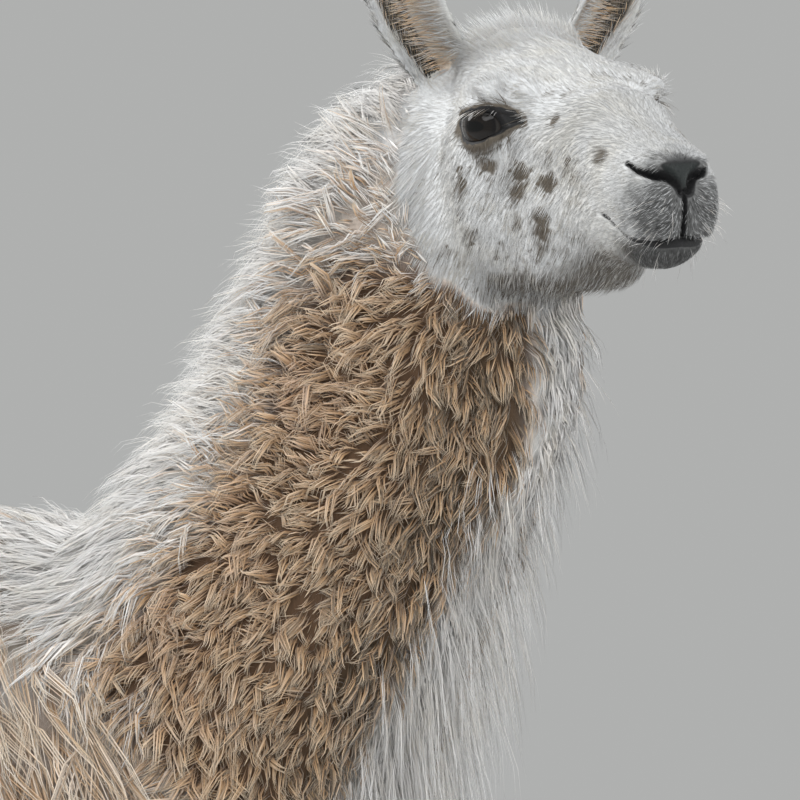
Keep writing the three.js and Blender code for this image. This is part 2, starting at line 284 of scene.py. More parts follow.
def spline(points, count):
    """A Catmull-Rom curve through the points, as this many even steps of its parameter."""
    points = np.asarray(points, float)
    padded = np.vstack((2 * points[0] - points[1], points, 2 * points[-1] - points[-2]))
    at = np.linspace(0, len(points) - 1, count)
    i = np.minimum(at.astype(int), len(points) - 2)
    f = (at - i)[:, None]
    a, b, c, d = (padded[i + k] for k in range(4))
    return 0.5 * (2 * b + (c - a) * f + (2 * a - 5 * b + 4 * c - d) * f**2 + (3 * b - a - 3 * c + d) * f**3)


class Line:
    """A curve in space that tells, for any point, how far along it lies and which way the curve runs."""

    def __init__(self, points, count=48):
        self.points = spline(points, count)
        self.ways = unit(np.gradient(self.points, axis=0))
        steps = np.linalg.norm(np.diff(self.points, axis=0), axis=1)
        self.lengths = np.concatenate(((0.0,), np.cumsum(steps)))

    def near(self, points):
        """For each point: distance along, the curve's way there, and the vector out from the curve."""
        along = np.empty(len(points))
        ways = np.empty((len(points), 3))
        for start in range(0, len(points), 20000):
            part = slice(start, start + 20000)
            gaps = ((points[part, None, :] - self.points[None]) ** 2).sum(axis=2)
            nearest = gaps.argmin(axis=1)
            ways[part] = self.ways[nearest]
            shift = dots(points[part] - self.points[nearest], ways[part])
            along[part] = self.lengths[nearest] + shift
        middle = np.stack([np.interp(along, self.lengths, row) for row in self.points.T], axis=1)
        out = points - middle
        return along, ways, out - ways * dots(out, ways)[:, None]


NECK = Line(NECK_LINE)


def throat_way(ways):
    """The way out to the throat from the neck's middle line, where the line runs in these ways."""
    return np.stack((ways[:, 2], np.zeros(len(ways)), -ways[:, 0]), axis=1)


def neck_place(points):
    """Distance up the neck, its way there, and the turn from the throat (0) to the nape (180 degrees)."""
    along, ways, out = NECK.near(points)
    turn = np.degrees(np.arctan2(np.abs(out[:, 1]), dots(out, throat_way(ways))))
    return along, ways, turn


# ------------------------------------------------------------------ how deep the skin lies in its coat
# The edge between face hair and neck wool, seen from the side: heights and how far forward it lies there.
WOOL_EDGE_UP = (-0.165, -0.148, -0.135, -0.126, -0.108, -0.077, -0.042, -0.002, 0.030)
WOOL_EDGE_FORWARD = (0.030, -0.005, -0.034, -0.040, -0.056, -0.074, -0.083, -0.101, -0.124)


def wool_edge(local):
    """How far a point lies behind the edge where the short face hair gives way to neck wool."""
    edge = np.interp(local[:, 2], WOOL_EDGE_UP, WOOL_EDGE_FORWARD)
    return edge + 0.004 * ripple(local, 0.03, 11) - local[:, 0]


def coat_depth(points, labels):
    """How deep the skin lies under the outside of the coat, part by part."""
    local = to_head(points)
    muzzle = smooth(0.075, 0.115, local[:, 0])
    crown = smooth(0.030, 0.055, local[:, 2]) * smooth(-0.02, -0.05, local[:, 0])
    depth = 1.9 + 1.0 * crown - 1.1 * muzzle
    depth *= 0.15 + 0.85 * smooth(0.004, 0.020, eyeball_gap(local))
    woolly = smooth(-0.045, 0.012, wool_edge(local))
    _, _, turn = neck_place(points)
    below_jaw = smooth(-0.01, -0.06, (points - HEAD_CUT_AT) @ HEAD_CUT_WAY)
    neck_depth = 10.0 + 20.0 * smooth(44, 10, turn) * below_jaw + 5.0 * smooth(100, 135, turn)
    depth = depth + (neck_depth - depth) * woolly

    depth[belongs(labels, EARS)] = 1.0
    neck = belongs(labels, ["neck"])
    depth[neck] = neck_depth[neck]

    body = points - BODY_AT
    height = body[:, 2]
    trunk = belongs(labels, ["trunk"])
    belly = smooth(0.80, 0.68, height)
    depth[trunk] = (22.0 - 5.0 * belly)[trunk]
    legs = belongs(labels, LEG_FLESH)
    leg_depth = 3.0 + 3.0 * smooth(0.10, 0.45, height) + 12.0 * smooth(0.48, 0.72, height)
    leg_depth *= smooth(0.0, 0.03, height)
    depth[legs] = leg_depth[legs]
    tail = belongs(labels, ["tail"])
    depth[tail] = (2.0 + 26.0 * smooth(0.785, 0.93, height))[tail]
    return depth * MM


def sink(mesh, depth, steps):
    """Moves the skin inwards by a depth that differs from place to place."""
    edges = edges_of(mesh)
    for _ in range(steps):
        points = points_of(mesh) - points_of(mesh, "normal") * (depth / steps)[:, None]
        points += (neighbour_mean(points, edges) - points) * 0.25
        move_points(mesh, points)


def settle(mesh, depth, held):
    """Brings the skin back to its depth under the solids, where smoothing has drawn it too far."""
    points, normals = points_of(mesh), points_of(mesh, "normal")
    error = np.zeros(len(points))
    trust = np.zeros(len(points))
    for index in np.flatnonzero(held):
        point = Vector(points[index])
        place, facing, _, _ = FLESH_TREE.find_nearest(point)
        if facing.dot(Vector(normals[index])) > 0.6:
            error[index] = (place - point).dot(facing) - depth[index]
            trust[index] = 1.0
    edges = edges_of(mesh)
    error = relax(np.clip(error, -5 * MM, 5 * MM) * trust, edges, 14)
    error /= np.maximum(relax(trust, edges, 14), 0.15)
    fade = relax(held.astype(float), edges, 10)
    move_points(mesh, points + normals * (error * fade)[:, None])


HEAD_GRAIN = 2.3 * MM
BODY_GRAIN = 6.5 * MM
OVERLAP = 0.10  # the length of neck that the head's skin and the body's skin share before they are joined
SPARE = 0.07  # how much longer each is made, and cut off again, so that its end isn't sunk
CROSSING = -OVERLAP / 2  # where the two cross, measured along the cut from head to neck
CROSS_SLOPE = 0.25


def remeshed(name, shapes, grain):
    """One closed skin round all the shapes, with faces as long as the grain."""
    piece = joined(name, shapes)
    applied(piece, "REMESH", mode="VOXEL", voxel_size=grain)
    return piece


def head_shell():
    """The skin of the head and the top of the neck, fine enough for lids and lips."""
    eyes = [swollen(f"eye_{side}", EYE_SWELL) for side in SIDES]
    stub = swollen("neck", kept=(HEAD_CUT_AT - HEAD_CUT_WAY * (OVERLAP + SPARE), HEAD_CUT_WAY))
    piece = remeshed("head_shell", [swollen(node) for node in HEAD_FLESH] + eyes + [stub], HEAD_GRAIN)
    mesh = piece.data
    points = points_of(mesh)
    labels = nearest_node(points)
    edges = edges_of(mesh)
    firm = np.where(belongs(labels, EARS), 0.12, 0.5)
    points = relax(points, edges, 26, relax(firm, edges, 6)[:, None])
    woolly = 0.5 * smooth(-0.05, 0.0, wool_edge(to_head(points))) * (firm > 0.2)
    points = relax(points, edges, 90, woolly[:, None])
    move_points(mesh, points)
    depth = coat_depth(points, labels) + SWELL
    reach = (points - HEAD_CUT_AT) @ HEAD_CUT_WAY
    depth += CROSS_SLOPE * np.maximum(0.0, CROSSING - reach)
    sink(mesh, relax(depth, edges, 30), 8)
    local = to_head(points)
    bald = (wool_edge(local) < -0.045) & (firm > 0.45) & (eyeball_gap(local) > 12 * MM)
    settle(mesh, relax(depth - SWELL, edges, 30), bald)
    shorten(mesh, HEAD_CUT_AT - HEAD_CUT_WAY * OVERLAP, HEAD_CUT_WAY)
    return piece


def shorten(mesh, point, way):
    """Cuts a mesh at a plane and keeps the side that the way points to."""
    shape = bmesh.new()
    shape.from_mesh(mesh)
    cut(shape, point, way)
    shape.to_mesh(mesh)
    shape.free()
    mesh.update()


def body_shell():
    """The skin of the body up to the head, in a coarser grain."""
    under_skull = (HEAD_CUT_AT + HEAD_CUT_WAY * SPARE, -HEAD_CUT_WAY)
    spare = [swollen(node, kept=under_skull) for node in SKULL]
    piece = remeshed("body_shell", [swollen(node) for node in BODY_FLESH] + spare, BODY_GRAIN)
    mesh = piece.data
    points = points_of(mesh)
    labels = nearest_node(points)
    edges = edges_of(mesh)
    feet = belongs(labels, LEG_FLESH) & (points[:, 2] < 0.12)
    firm = relax(np.where(feet, 0.15, 0.5), edges, 6)[:, None]
    points = relax(points, edges, 12, firm)
    by_head = 0.5 * smooth(-0.15, -0.05, (points - HEAD_CUT_AT) @ HEAD_CUT_WAY)
    points = relax(points, edges, 20, (by_head * belongs(labels, HEAD_FLESH + ["neck"]))[:, None])
    move_points(mesh, points)
    depth = coat_depth(points, labels) + SWELL
    reach = (points - HEAD_CUT_AT) @ HEAD_CUT_WAY
    depth += CROSS_SLOPE * np.maximum(0.0, reach - CROSSING) * belongs(labels, ["neck"] + SKULL)
    sink(mesh, relax(depth, edges, 12), 16)
    shorten(mesh, HEAD_CUT_AT, -HEAD_CUT_WAY)
    points = points_of(mesh)
    points[:, 2] = np.maximum(points[:, 2], 0.0)
    move_points(mesh, points)
    return piece


# ------------------------------------------------------------------ lids, nostrils and lips
EYE_BACK, EYE_FRONT = -24 * MM, 35 * MM  # corners of the lids, from the eye's middle towards the nose
LID_MARGIN = 2.2 * MM
CREASE_AT = 6.0 * MM


def eye_frame(side):
    """The eye's middle and its ways forward, up and out along the gaze, in the head's frame."""
    sign = SIDES[side]
    turn = math.radians(EYE_GAZE)
    gaze = np.array((math.cos(turn), sign * math.sin(turn), 0.0))
    forward = np.array((math.sin(turn), -sign * math.cos(turn), 0.0))
    middle = np.array((EYE_FORWARD, sign * EYE_OUT, EYE_UP))
    return middle, forward, np.array((0.0, 0.0, 1.0)), gaze


def eyeball_gap(local):
    """How far a point lies outside the nearer eyeball."""
    gaps = [np.linalg.norm(local - eye_frame(side)[0], axis=1) for side in SIDES]
    return np.min(gaps, axis=0) - EYE_RADIUS


def lid_bump(t, rise, fall):
    """A hump over 0..1 that rises with one power and falls with another; its top is 1."""
    t = np.clip(t, 1e-6, 1 - 1e-6)
    peak = rise / (rise + fall)
    return (t / peak) ** rise * ((1 - t) / (1 - peak)) ** fall


def lid_lines(along):
    """Heights of the upper and lower lid edges over the line between the eye's corners."""
    t = (along - EYE_BACK) / (EYE_FRONT - EYE_BACK)
    base = -0.5 + 4.5 * t
    upper = base + 9.3 * lid_bump(t, 0.9, 0.75)
    lower = base - 11.8 * lid_bump(t, 0.85, 1.7)
    return upper * MM, lower * MM


def lid_distance(local, side):
    """How far a point lies outside the opening of the lids (negative inside), and where it lies forward
    of the eye's middle and above it, seen along the gaze.
    """
    middle, forward, up, gaze = eye_frame(side)
    away = local - middle
    x, y = away @ forward, away @ up
    upper, lower = lid_lines(x)
    gap = np.maximum(y - upper, lower - y)
    beyond = np.maximum(np.maximum(EYE_BACK - x, x - EYE_FRONT), 0.0)
    gap = np.where(beyond > 0, np.hypot(np.maximum(gap, 0.0), beyond), gap)
    facing = away @ gaze
    return np.where(facing > -0.006, gap, 0.08), x, y


def shape_lids(local):
    """Lays the lids over the eyeballs, with a crease above and a pouch below, and folds their edges in."""
    for side in SIDES:
        middle = eye_frame(side)[0]
        gap, x, y = lid_distance(local, side)
        near = gap < 0.016
        away = local[near] - middle
        gap, x, y = gap[near], x[near], y[near]
        radius = np.linalg.norm(away, axis=1)
        spread = np.hypot(x, y)
        lid = EYE_RADIUS + LID_MARGIN + 0.30 * np.maximum(gap, 0.0)
        crease = 0.9 * MM * hump(gap, CREASE_AT, 1.3 * MM) * smooth(-1 * MM, 4 * MM, y)
        pouch = 0.6 * MM * hump(gap, 5 * MM, 1.2 * MM) * smooth(-3 * MM, -8 * MM, y)
        hold = smooth(0.012, 0.004, gap) * smooth(0.024, 0.018, spread)
        outer = radius + (lid - radius) * hold - crease - pouch
        behind = EYE_RADIUS - 2.6 * MM
        groove = outer - 3.0 * MM
        blend = smooth(0.017, 0.021, spread)
        inner = np.minimum(behind, radius) * (1 - blend) + groove * blend
        fold = smooth(0.5 * MM, -0.9 * MM, gap)
        radius_new = outer + (inner - outer) * fold
        local[near] = middle + away * (radius_new / radius)[:, None]
    return local


def rail_distance(local, rail):
    """How far a point lies to the side of a line on the skin, and how far along it (0 to 1) it lies."""
    best = np.full(len(local), np.inf)
    share = np.zeros(len(local))
    places, facings = rail
    for index in range(len(places) - 1):
        start, run = places[index], places[index + 1] - places[index]
        t = np.clip((local - start) @ run / (run @ run), 0.0, 1.0)
        away = local - start - t[:, None] * run
        depth = away @ facings[index]
        aside = np.sqrt(np.maximum((away**2).sum(axis=1) - depth**2, 0.0))
        gap = aside + np.maximum(np.abs(depth) - 12 * MM, 0.0)
        closer = gap < best
        best = np.where(closer, gap, best)
        share = np.where(closer, (index + t) / (len(places) - 1), share)
    return best, share


def rail_height(rail, share):
    """The height of the line where it is this far along."""
    places, _ = rail
    return np.interp(share, np.linspace(0, 1, len(places)), places[:, 2])


# Lines on the muzzle's right half, from the outside in and from the front back.
NOSTRIL = [(149, 30, -19), (159, 27, -23), (168, 20, -25.5), (172, 11, -26.5), (175, 6, -31), (177, 3, -38)]
PHILTRUM = [(182, 0, -36), (177, 0, -53), (176, 0, -69)]
MOUTH = [
    (176, 0, -71), (174, 8, -71.5), (168, 18, -71.5), (158, 25, -70),
    (147, 30.5, -69), (136, 35, -64), (127, 38, -59), (115, 40, -55),
]


def laid_on(tree, rail, sign=1.0):
    """A smooth run of points on the skin, close to the rail, and the way the skin faces at each."""
    guide = from_head(spline(np.array(rail) * (1.0, sign, 1.0) * MM, 4 * len(rail)))
    hits = [tree.find_nearest(Vector(point)) for point in guide]
    facings = np.array([hit[1] for hit in hits]) @ HEAD_AXES
    for _ in range(6):
        facings[1:-1] = (facings[:-2] + facings[1:-1] + facings[2:]) / 3
    return to_head(np.array([hit[0] for hit in hits])), unit(facings)


class Features:
    """The lines of the nostrils, the mouth and the groove under the nose, as they lie on one mesh."""

    def __init__(self, mesh):
        faces = [tuple(face.vertices) for face in mesh.polygons]
        tree = BVHTree.FromPolygons([vert.co for vert in mesh.vertices], faces)
        self.nostrils = [laid_on(tree, NOSTRIL, sign) for sign in SIDES.values()]
        self.mouths = [laid_on(tree, MOUTH, sign) for sign in SIDES.values()]
        self.philtrum = laid_on(tree, PHILTRUM)


def shape_muzzle(local, normals, features):
    """Sinks the nostrils, the mouth and the cleft under the nose, and rounds the wings and lips by them."""
    for rail in features.nostrils:
        gap, share = rail_distance(local, rail)
        line = rail_height(rail, share)
        above = smooth(-2 * MM, 2 * MM, local[:, 2] - line)
        middle = np.sin(np.pi * np.clip(share, 0.04, 0.96))
        wide = (1.0 + 2.6 * middle**0.8) * MM
        deep = 8.5 * MM * np.exp(-((gap / wide) ** 2.4)) * (0.35 + 0.65 * middle**0.6)
        wing = 3.2 * MM * hump(gap, 6 * MM, 5 * MM) * above * smooth(0.75, 0.45, share)
        hollow = 2.4 * MM * hump(gap, 0.0, 7 * MM) * (1 - above)
        local = local + normals * ((wing - hollow) * middle - deep)[:, None]
    for rail in features.mouths:
        gap, share = rail_distance(local, rail)
        fade = smooth(1.0, 0.86, share)
        line = rail_height(rail, share)
        above = smooth(-0.7 * MM, 0.7 * MM, local[:, 2] - line)
        ahead = smooth(0.9, 0.2, share)
        deep = 3.6 * MM * hump(gap, 0.0, 1.5 * MM)
        upper_lip = 1.5 * MM * hump(gap, 4 * MM, 4 * MM) * above
        lower_lip = 3.4 * MM * hump(gap, 0.0, 5 * MM) * (1 - above) * ahead
        own_side = smooth(-1 * MM, 1 * MM, local[:, 1] * np.sign(rail[0][-1, 1]))
        local = local + normals * ((upper_lip * ahead - lower_lip - deep) * fade * own_side)[:, None]
    gap, share = rail_distance(local, features.philtrum)
    low = smooth(0.2, 1.0, share)
    cleft = (3.4 + 1.5 * low) * MM * hump(gap, 0.0, (1.3 + 0.5 * low) * MM)
    cleft += (1.6 + 1.2 * low) * MM * hump(gap, 0.0, 4.5 * MM)
    return local - normals * cleft[:, None]


def near_features(local, features, reach):
    """Which points lie by an eye, a nostril or the mouth."""
    near = rail_distance(local, features.philtrum)[0] < reach
    for side in SIDES:
        near |= lid_distance(local, side)[0] < 1.4 * reach
    for rail in features.nostrils + features.mouths:
        near |= rail_distance(local, rail)[0] < reach
    return near


def refine(mesh, near):
    """Halves the size of the faces whose corners are all near."""
    shape = bmesh.new()
    shape.from_mesh(mesh)
    shape.verts.ensure_lookup_table()
    faces = [face for face in shape.faces if all(near[vert.index] for vert in face.verts)]
    edges = list({edge for face in faces for edge in face.edges})
    bmesh.ops.subdivide_edges(shape, edges=edges, cuts=1, use_grid_fill=True)
    shape.to_mesh(mesh)
    shape.free()
    mesh.update()


def shape_face(mesh):
    """Refines the skin round the eyes, nose and mouth, and shapes them."""
    features = Features(mesh)
    for reach in (16 * MM, 9 * MM):
        refine(mesh, near_features(to_head(points_of(mesh)), features, reach))
    edges = edges_of(mesh)
    points = points_of(mesh)
    near = near_features(to_head(points), features, 14 * MM)
    points = relax(points, edges, 8, np.where(near, 0.5, 0.0)[:, None])
    local = shape_lids(to_head(points))
    local = shape_muzzle(local, points_of(mesh, "normal") @ HEAD_AXES, features)
    points = from_head(local)
    points = relax(points, edges, 1, np.where(near, 0.3, 0.0)[:, None])
    move_points(mesh, points)
    return features


# ------------------------------------------------------------------ where colours lie
# Dark patches of the face: (forward, up, half length, half height, strength), seen from the side.
PATCHES = [
    (27, -32, 8, 6, 1.0),
    (55, -37, 9, 5, 0.95),
    (24, -46, 7, 6, 0.7),
    (48, -60, 8, 6, 0.8),
    (48, -70, 8, 7, 0.75),
    (43, -84, 7, 5, 0.45),
    (22, -67, 5, 7, 0.5),
    (119, -18, 7, 5, 0.55),
    (81, -24, 5, 6, 0.4),
    (57, -19, 5, 5, 0.4),
    (56, 4, 4, 5, 0.65),
    (51, 20, 5, 3, 0.35),
    (38, 21, 5, 3, 0.35),
    (-1, 30, 8, 3, 0.35),
    (-29, -44, 5, 10, 0.6),
    (-4, -30, 10, 5, 0.65),
    (-25, -79, 8, 6, 0.4),
    (-49, -93, 8, 5, 0.4),
    (83, -72, 9, 4, 0.35),
    (105, -38, 7, 4, 0.3),
    (0, -84, 7, 4, 0.3),
    (18, -95, 8, 5, 0.35),
    (61, -84, 8, 5, 0.35),
    (-32, -64, 6, 5, 0.35),
]


def face_patches(local):
    """How dark the face hair is, from its patches and a scatter of small flecks."""
    wobble = 2.2 * MM
    x = local[:, 0] + wobble * ripple(local, 0.013, 21)
    z = local[:, 2] + wobble * ripple(local, 0.011, 22)
    left = local[:, 1] > 0
    x = np.where(left, x + 7 * MM * ripple(local, 0.09, 23), x)
    z = np.where(left, z + 9 * MM * ripple(local, 0.08, 24), z)
    spot = np.zeros(len(local))
    for forward, up, long, high, strength in PATCHES:
        gap = np.hypot((x - forward * MM) / (long * MM), (z - up * MM) / (high * MM))
        spot = np.maximum(spot, 1.35 * strength * smooth(1.9, 0.2, gap))
    fleck = smooth(0.80, 1.35, ripple(local * (1.0, 1.0, 1.5), 0.012, 25) + 0.5 * ripple(local, 0.05, 26))
    zone = smooth(0.115, 0.085, local[:, 0]) * smooth(-0.10, -0.07, local[:, 0])
    zone *= smooth(0.03, -0.02, local[:, 2])
    return np.clip(spot + 0.6 * fleck * zone, 0.0, 1.0)


def muzzle_grey(local):
    """The smoky grey of the upper lip, chin and nose, and a light grey over the bridge of the nose that is
    painted shade.
    """
    lip = np.linalg.norm((local - (0.182, 0.0, -0.052)) / (0.044, 0.050, 0.030), axis=1)
    chin = np.linalg.norm((local - (0.158, 0.0, -0.084)) / (0.036, 0.044, 0.024), axis=1)
    nose = np.linalg.norm((local - (0.178, 0.0, -0.026)) / (0.028, 0.026, 0.022), axis=1)
    edge = 0.12 * ripple(local, 0.012, 31)
    # Painted shade: the top of the muzzle is made a little greyer.
    painted_bridge_shade = 0.25 * smooth(0.03, 0.08, local[:, 0]) * smooth(-0.03, 0.0, local[:, 2])
    return np.maximum(smooth(1.5, 0.5, np.minimum(np.minimum(lip, chin), nose) + edge), painted_bridge_shade)


# The bare pad between the nostrils: heights and half its width there.
PAD_UP = (-0.041, -0.034, -0.027, -0.021, -0.015)
PAD_HALF = (0.002, 0.005, 0.012, 0.0145, 0.010)


def nose_pad(local):
    """The bare grey skin between the nostrils, fading into the hair round it."""
    half = np.interp(local[:, 2], PAD_UP, PAD_HALF)
    inside = half - np.abs(local[:, 1]) + 1.6 * MM * ripple(local, 0.008, 32)
    tall = smooth(-0.011, -0.024, local[:, 2]) * smooth(-0.044, -0.040, local[:, 2])
    return smooth(-3.5 * MM, 3.5 * MM, inside) * tall * (local[:, 0] > 0.15)


def bare_skin(local, features):
    """The dark skin that shows at the lids, nostrils, lips and between the nostrils; on the lower lip it is
    partly painted shade.
    """
    bare = np.zeros(len(local))
    for rail in features.nostrils:
        gap, share = rail_distance(local, rail)
        reach = (1.4 + 1.8 * smooth(0.1, 0.6, share)) * MM
        bare = np.maximum(bare, smooth(reach + 2.2 * MM, reach - 1.0 * MM, gap))
    for rail in features.mouths:
        gap, share = rail_distance(local, rail)
        line = rail_height(rail, share)
        # Below the mouth line the bare dark skin reaches over the lower lip: partly the lip's own dark skin,
        # partly painted shade of the recess under the upper lip.
        reach = np.where(local[:, 2] < line, 5.0 * smooth(0.75, 0.2, share), 0.0) * MM
        bare = np.maximum(bare, smooth(2.6 * MM, 0.8 * MM, gap - reach) * smooth(1.0, 0.9, share))
    gap, _ = rail_distance(local, features.philtrum)
    bare = np.maximum(bare, smooth(3.0 * MM, 1.2 * MM, gap))
    bare = np.maximum(bare, nose_pad(local))
    for side in SIDES:
        gap, _, y = lid_distance(local, side)
        reach = (1.8 + 1.0 * smooth(-0.004, 0.006, y) + 0.6 * ripple(local, 0.006, 33)) * MM
        bare = np.maximum(bare, smooth(reach + 1.4 * MM, reach - 1.2 * MM, gap))
    return bare


def dark_creases(local, features):
    """1 inside the nostrils, between the lips and in the cleft under the nose, where bare skin is darkest."""
    dark = np.zeros(len(local))
    for rail in features.nostrils:
        dark = np.maximum(dark, smooth(4.5 * MM, 2.0 * MM, rail_distance(local, rail)[0]))
    for rail in features.mouths:
        dark = np.maximum(dark, smooth(9 * MM, 6 * MM, rail_distance(local, rail)[0]))
    dark = np.maximum(dark, smooth(3.0 * MM, 1.5 * MM, rail_distance(local, features.philtrum)[0]))
    return dark * (local[:, 0] > 0.10)


# The ears' middle lines and the hollows in front of them: heights, and how far forward or out each lies.
EAR_UP = (0.004, 0.032, 0.066, 0.100, 0.132, 0.155, 0.168)
EAR_FORWARD = (-0.100, -0.099, -0.095, -0.089, -0.083, -0.081, -0.081)
EAR_OUT = (0.028, 0.050, 0.073, 0.087, 0.092, 0.089, 0.084)
EAR_HALF = (0.017, 0.021, 0.025, 0.026, 0.020, 0.011, 0.002)
EAR_CUP = (0.010, 0.013, 0.016, 0.018, 0.016, 0.009, 0.002)


def ear_place(local, ways):
    """Where a point lies across its ear, inner rim -1 to outer rim 1, and how much it lines the cup."""
    out = np.abs(local[:, 1])
    rows = (EAR_FORWARD, EAR_OUT, EAR_HALF, EAR_CUP)
    forward, middle, half, cup = (np.interp(local[:, 2], EAR_UP, row) for row in rows)
    across_ear = (out - middle) / half
    to_axis = np.stack((forward + 0.97 * cup - local[:, 0], middle + 0.24 * cup - out), axis=1)
    facing = np.stack((ways[:, 0], ways[:, 1] * np.sign(local[:, 1])), axis=1)
    return across_ear, smooth(-0.1, 0.45, dots(unit(to_axis), facing))


def fawn_share(points, local, labels):
    """How fawn the wool is: fawn on the sides of the neck, paler behind the cheeks and on the back."""
    along, _, turn = neck_place(points)
    turn = turn + 7.0 * ripple(points, 0.16, 41) + 3.0 * ripple(points, 0.05, 42)
    sides = smooth(11, 31, turn) * smooth(150, 92, turn)
    red = smooth(60, 84, turn) * smooth(-0.9, 1.1, ripple(points, 0.06, 43)) * smooth(0.52, 0.40, along)
    high = smooth(0.44, 0.28, along + 0.03 * ripple(points, 0.1, 46))
    pale = 0.32 + 0.30 * np.maximum(high, smooth(-0.08, -0.13, local[:, 2]))
    neck = sides * (pale + 0.30 * red)
    behind_cheek = smooth(-0.004, 0.012, wool_edge(local)) * smooth(0.035, -0.02, local[:, 2])
    neck = neck * np.where(belongs(labels, HEAD_FLESH), behind_cheek, 1.0)
    body = points - BODY_AT
    back = smooth(0.78, 1.02, body[:, 2] + 0.05 * ripple(points, 0.3, 44)) * smooth(-0.95, -0.6, body[:, 0])
    back = back * np.clip(0.42 + 0.22 * ripple(points, 0.13, 45), 0.0, 0.6)
    neck = neck * (1 - 0.45 * smooth(0.30, 0.05, along) * smooth(55, 95, turn))
    join = smooth(-0.02, 0.16, along)
    neck_here = belongs(labels, ["neck"] + HEAD_FLESH)
    trunk_here = belongs(labels, ["trunk"] + LEG_FLESH)
    return np.where(neck_here, neck * join + back * (1 - join), np.where(trunk_here, back, 0.0))


def lid_shade(local):
    """Dark hair close to the lids, reaching further below the eye."""
    shade = np.zeros(len(local))
    for side in SIDES:
        gap, x, y = lid_distance(local, side)
        below = smooth(0.0, -0.008, y) * smooth(0.03, 0.0, x)
        reach = (8.5 + 9 * below + 2 * ripple(local, 0.008, 49)) * MM
        shade = np.maximum(shade, 0.9 * smooth(reach, 2.6 * MM, gap))
    return shade


class Markings:
    """The colour of skin and coat at any place: how fawn, spotted, grey and bare it is."""

    def __init__(self, features):
        self.features = features

    def at(self, points, normals, labels):
        """The marks (fawn, spot, grey, bare) of points on the skin, each from 0 to 1; the spot mark also
        holds painted shade under the jaw and between the neck's locks.
        """
        local = to_head(points)
        head = belongs(labels, SKULL)
        face = head & (wool_edge(local) < 0.01)
        fawn = fawn_share(points, local, labels)
        spot, grey, bare = np.zeros(len(points)), np.zeros(len(points)), np.zeros(len(points))
        spot[face] = face_patches(local[face])
        grey[head] = muzzle_grey(local[head])
        bare[head] = bare_skin(local[head], self.features)
        pad = nose_pad(local[head]) * (1 - dark_creases(local[head], self.features))
        fawn[head] = np.maximum(fawn[head], 0.9 * pad * smooth(0.6, 0.95, bare[head]))
        spot[face] = np.maximum(spot[face], lid_shade(local[face]))

        ears = belongs(labels, EARS)
        across_ear, hollow = ear_place(local, normals @ HEAD_AXES)
        hollow = hollow * smooth(0.165, 0.14, local[:, 2])
        lined = hollow * smooth(-1.0, -0.6, across_ear) * smooth(1.0, 0.7, across_ear)
        dark = lined * smooth(-0.25, 0.15, across_ear)
        fawn[ears] = 0.35 * lined[ears]
        spot[ears] = 0.75 * dark[ears]
        bare[ears] = 0.8 * dark[ears]

        _, _, turn = neck_place(points)
        # Neck wool is darker towards the throat side and in soft patches; the sparse dark specks added next
        # are painted shade of gaps between the locks.
        brindle_and_gap_shade = 0.46 * smooth(74, 36, turn) + 0.08 * ripple(points, 0.05, 47)
        brindle_and_gap_shade += smooth(1.1, 1.8, ripple(points, 0.022, 48))
        brindle_and_gap_shade *= smooth(0.2, 0.5, fawn)
        wool = belongs(labels, ["neck"]) | (head & (wool_edge(local) > 0.0))
        spot[wool] = np.clip(brindle_and_gap_shade, 0.0, 1.0)[wool]
        # Painted shade: face hair that faces down, under the jaw, is darkened.
        under = 0.6 * smooth(-0.35, -0.95, normals[:, 2]) * smooth(0.15, 0.12, local[:, 0])
        chin = 0.95 * smooth(-0.066, -0.080, local[:, 2]) * smooth(0.12, 0.14, local[:, 0])
        spot[face] = np.maximum(spot, np.maximum(under, chin))[face]
        return np.stack((fawn, spot, grey, bare), axis=1)


# ------------------------------------------------------------------ scattering roots over the skin
class Hide:
    """The finished skin as arrays, ready for roots to be scattered over it."""

    def __init__(self, mesh, markings):
        mesh.calc_loop_triangles()
        corners = np.empty(len(mesh.loop_triangles) * 3, np.int32)
        mesh.loop_triangles.foreach_get("vertices", corners)
        self.triangles = corners.reshape(-1, 3)
        self.points = points_of(mesh)
        self.normals = points_of(mesh, "normal")
        self.labels = nearest_node(self.points)
        self.marks = markings.at(self.points, self.normals, self.labels)
        self.tree = BVHTree.FromPolygons(self.points.tolist(), self.triangles.tolist())
        a, b, c = (self.points[self.triangles[:, k]] for k in range(3))
        self.areas = np.linalg.norm(np.cross(b - a, c - a), axis=1) / 2

    def scatter(self, density, count, seed):
        """This many places, as thick as the density says: their positions, normals and marks."""
        random = np.random.default_rng(seed)
        weight = self.areas * density[self.triangles].mean(axis=1)
        total = np.cumsum(weight)
        at = (np.arange(count) + random.random(count)) / count * total[-1]
        chosen = self.triangles[np.minimum(np.searchsorted(total, at), len(total) - 1)]
        u, v = random.random(count), random.random(count)
        over = u + v > 1
        u, v = np.where(over, 1 - u, u), np.where(over, 1 - v, v)
        shares = np.stack((1 - u - v, u, v), axis=1)[:, :, None]
        points = (self.points[chosen] * shares).sum(axis=1)
        normals = unit((self.normals[chosen] * shares).sum(axis=1))
        marks = (self.marks[chosen] * shares).sum(axis=1)
        return points, normals, marks

    def laid(self, paths, heights, least=0.6 * MM):
        """Moves the points of each path, after its root, to their heights over the skin that they pass."""
        flat = paths[:, 1:].reshape(-1, 3)
        places, facings = np.empty_like(flat), np.empty_like(flat)
        for index, point in enumerate(flat.tolist()):
            place, facing, _, _ = self.tree.find_nearest(point)
            places[index], facings[index] = place, facing
        height = np.maximum(heights[:, 1:].reshape(-1), least)
        moved = places + facings * height[:, None]
        return np.concatenate((paths[:, :1], moved.reshape(len(paths), -1, 3)), axis=1)


# ------------------------------------------------------------------ locks of hair and wool
DOWN = np.array((0.0, 0.0, -1.0))


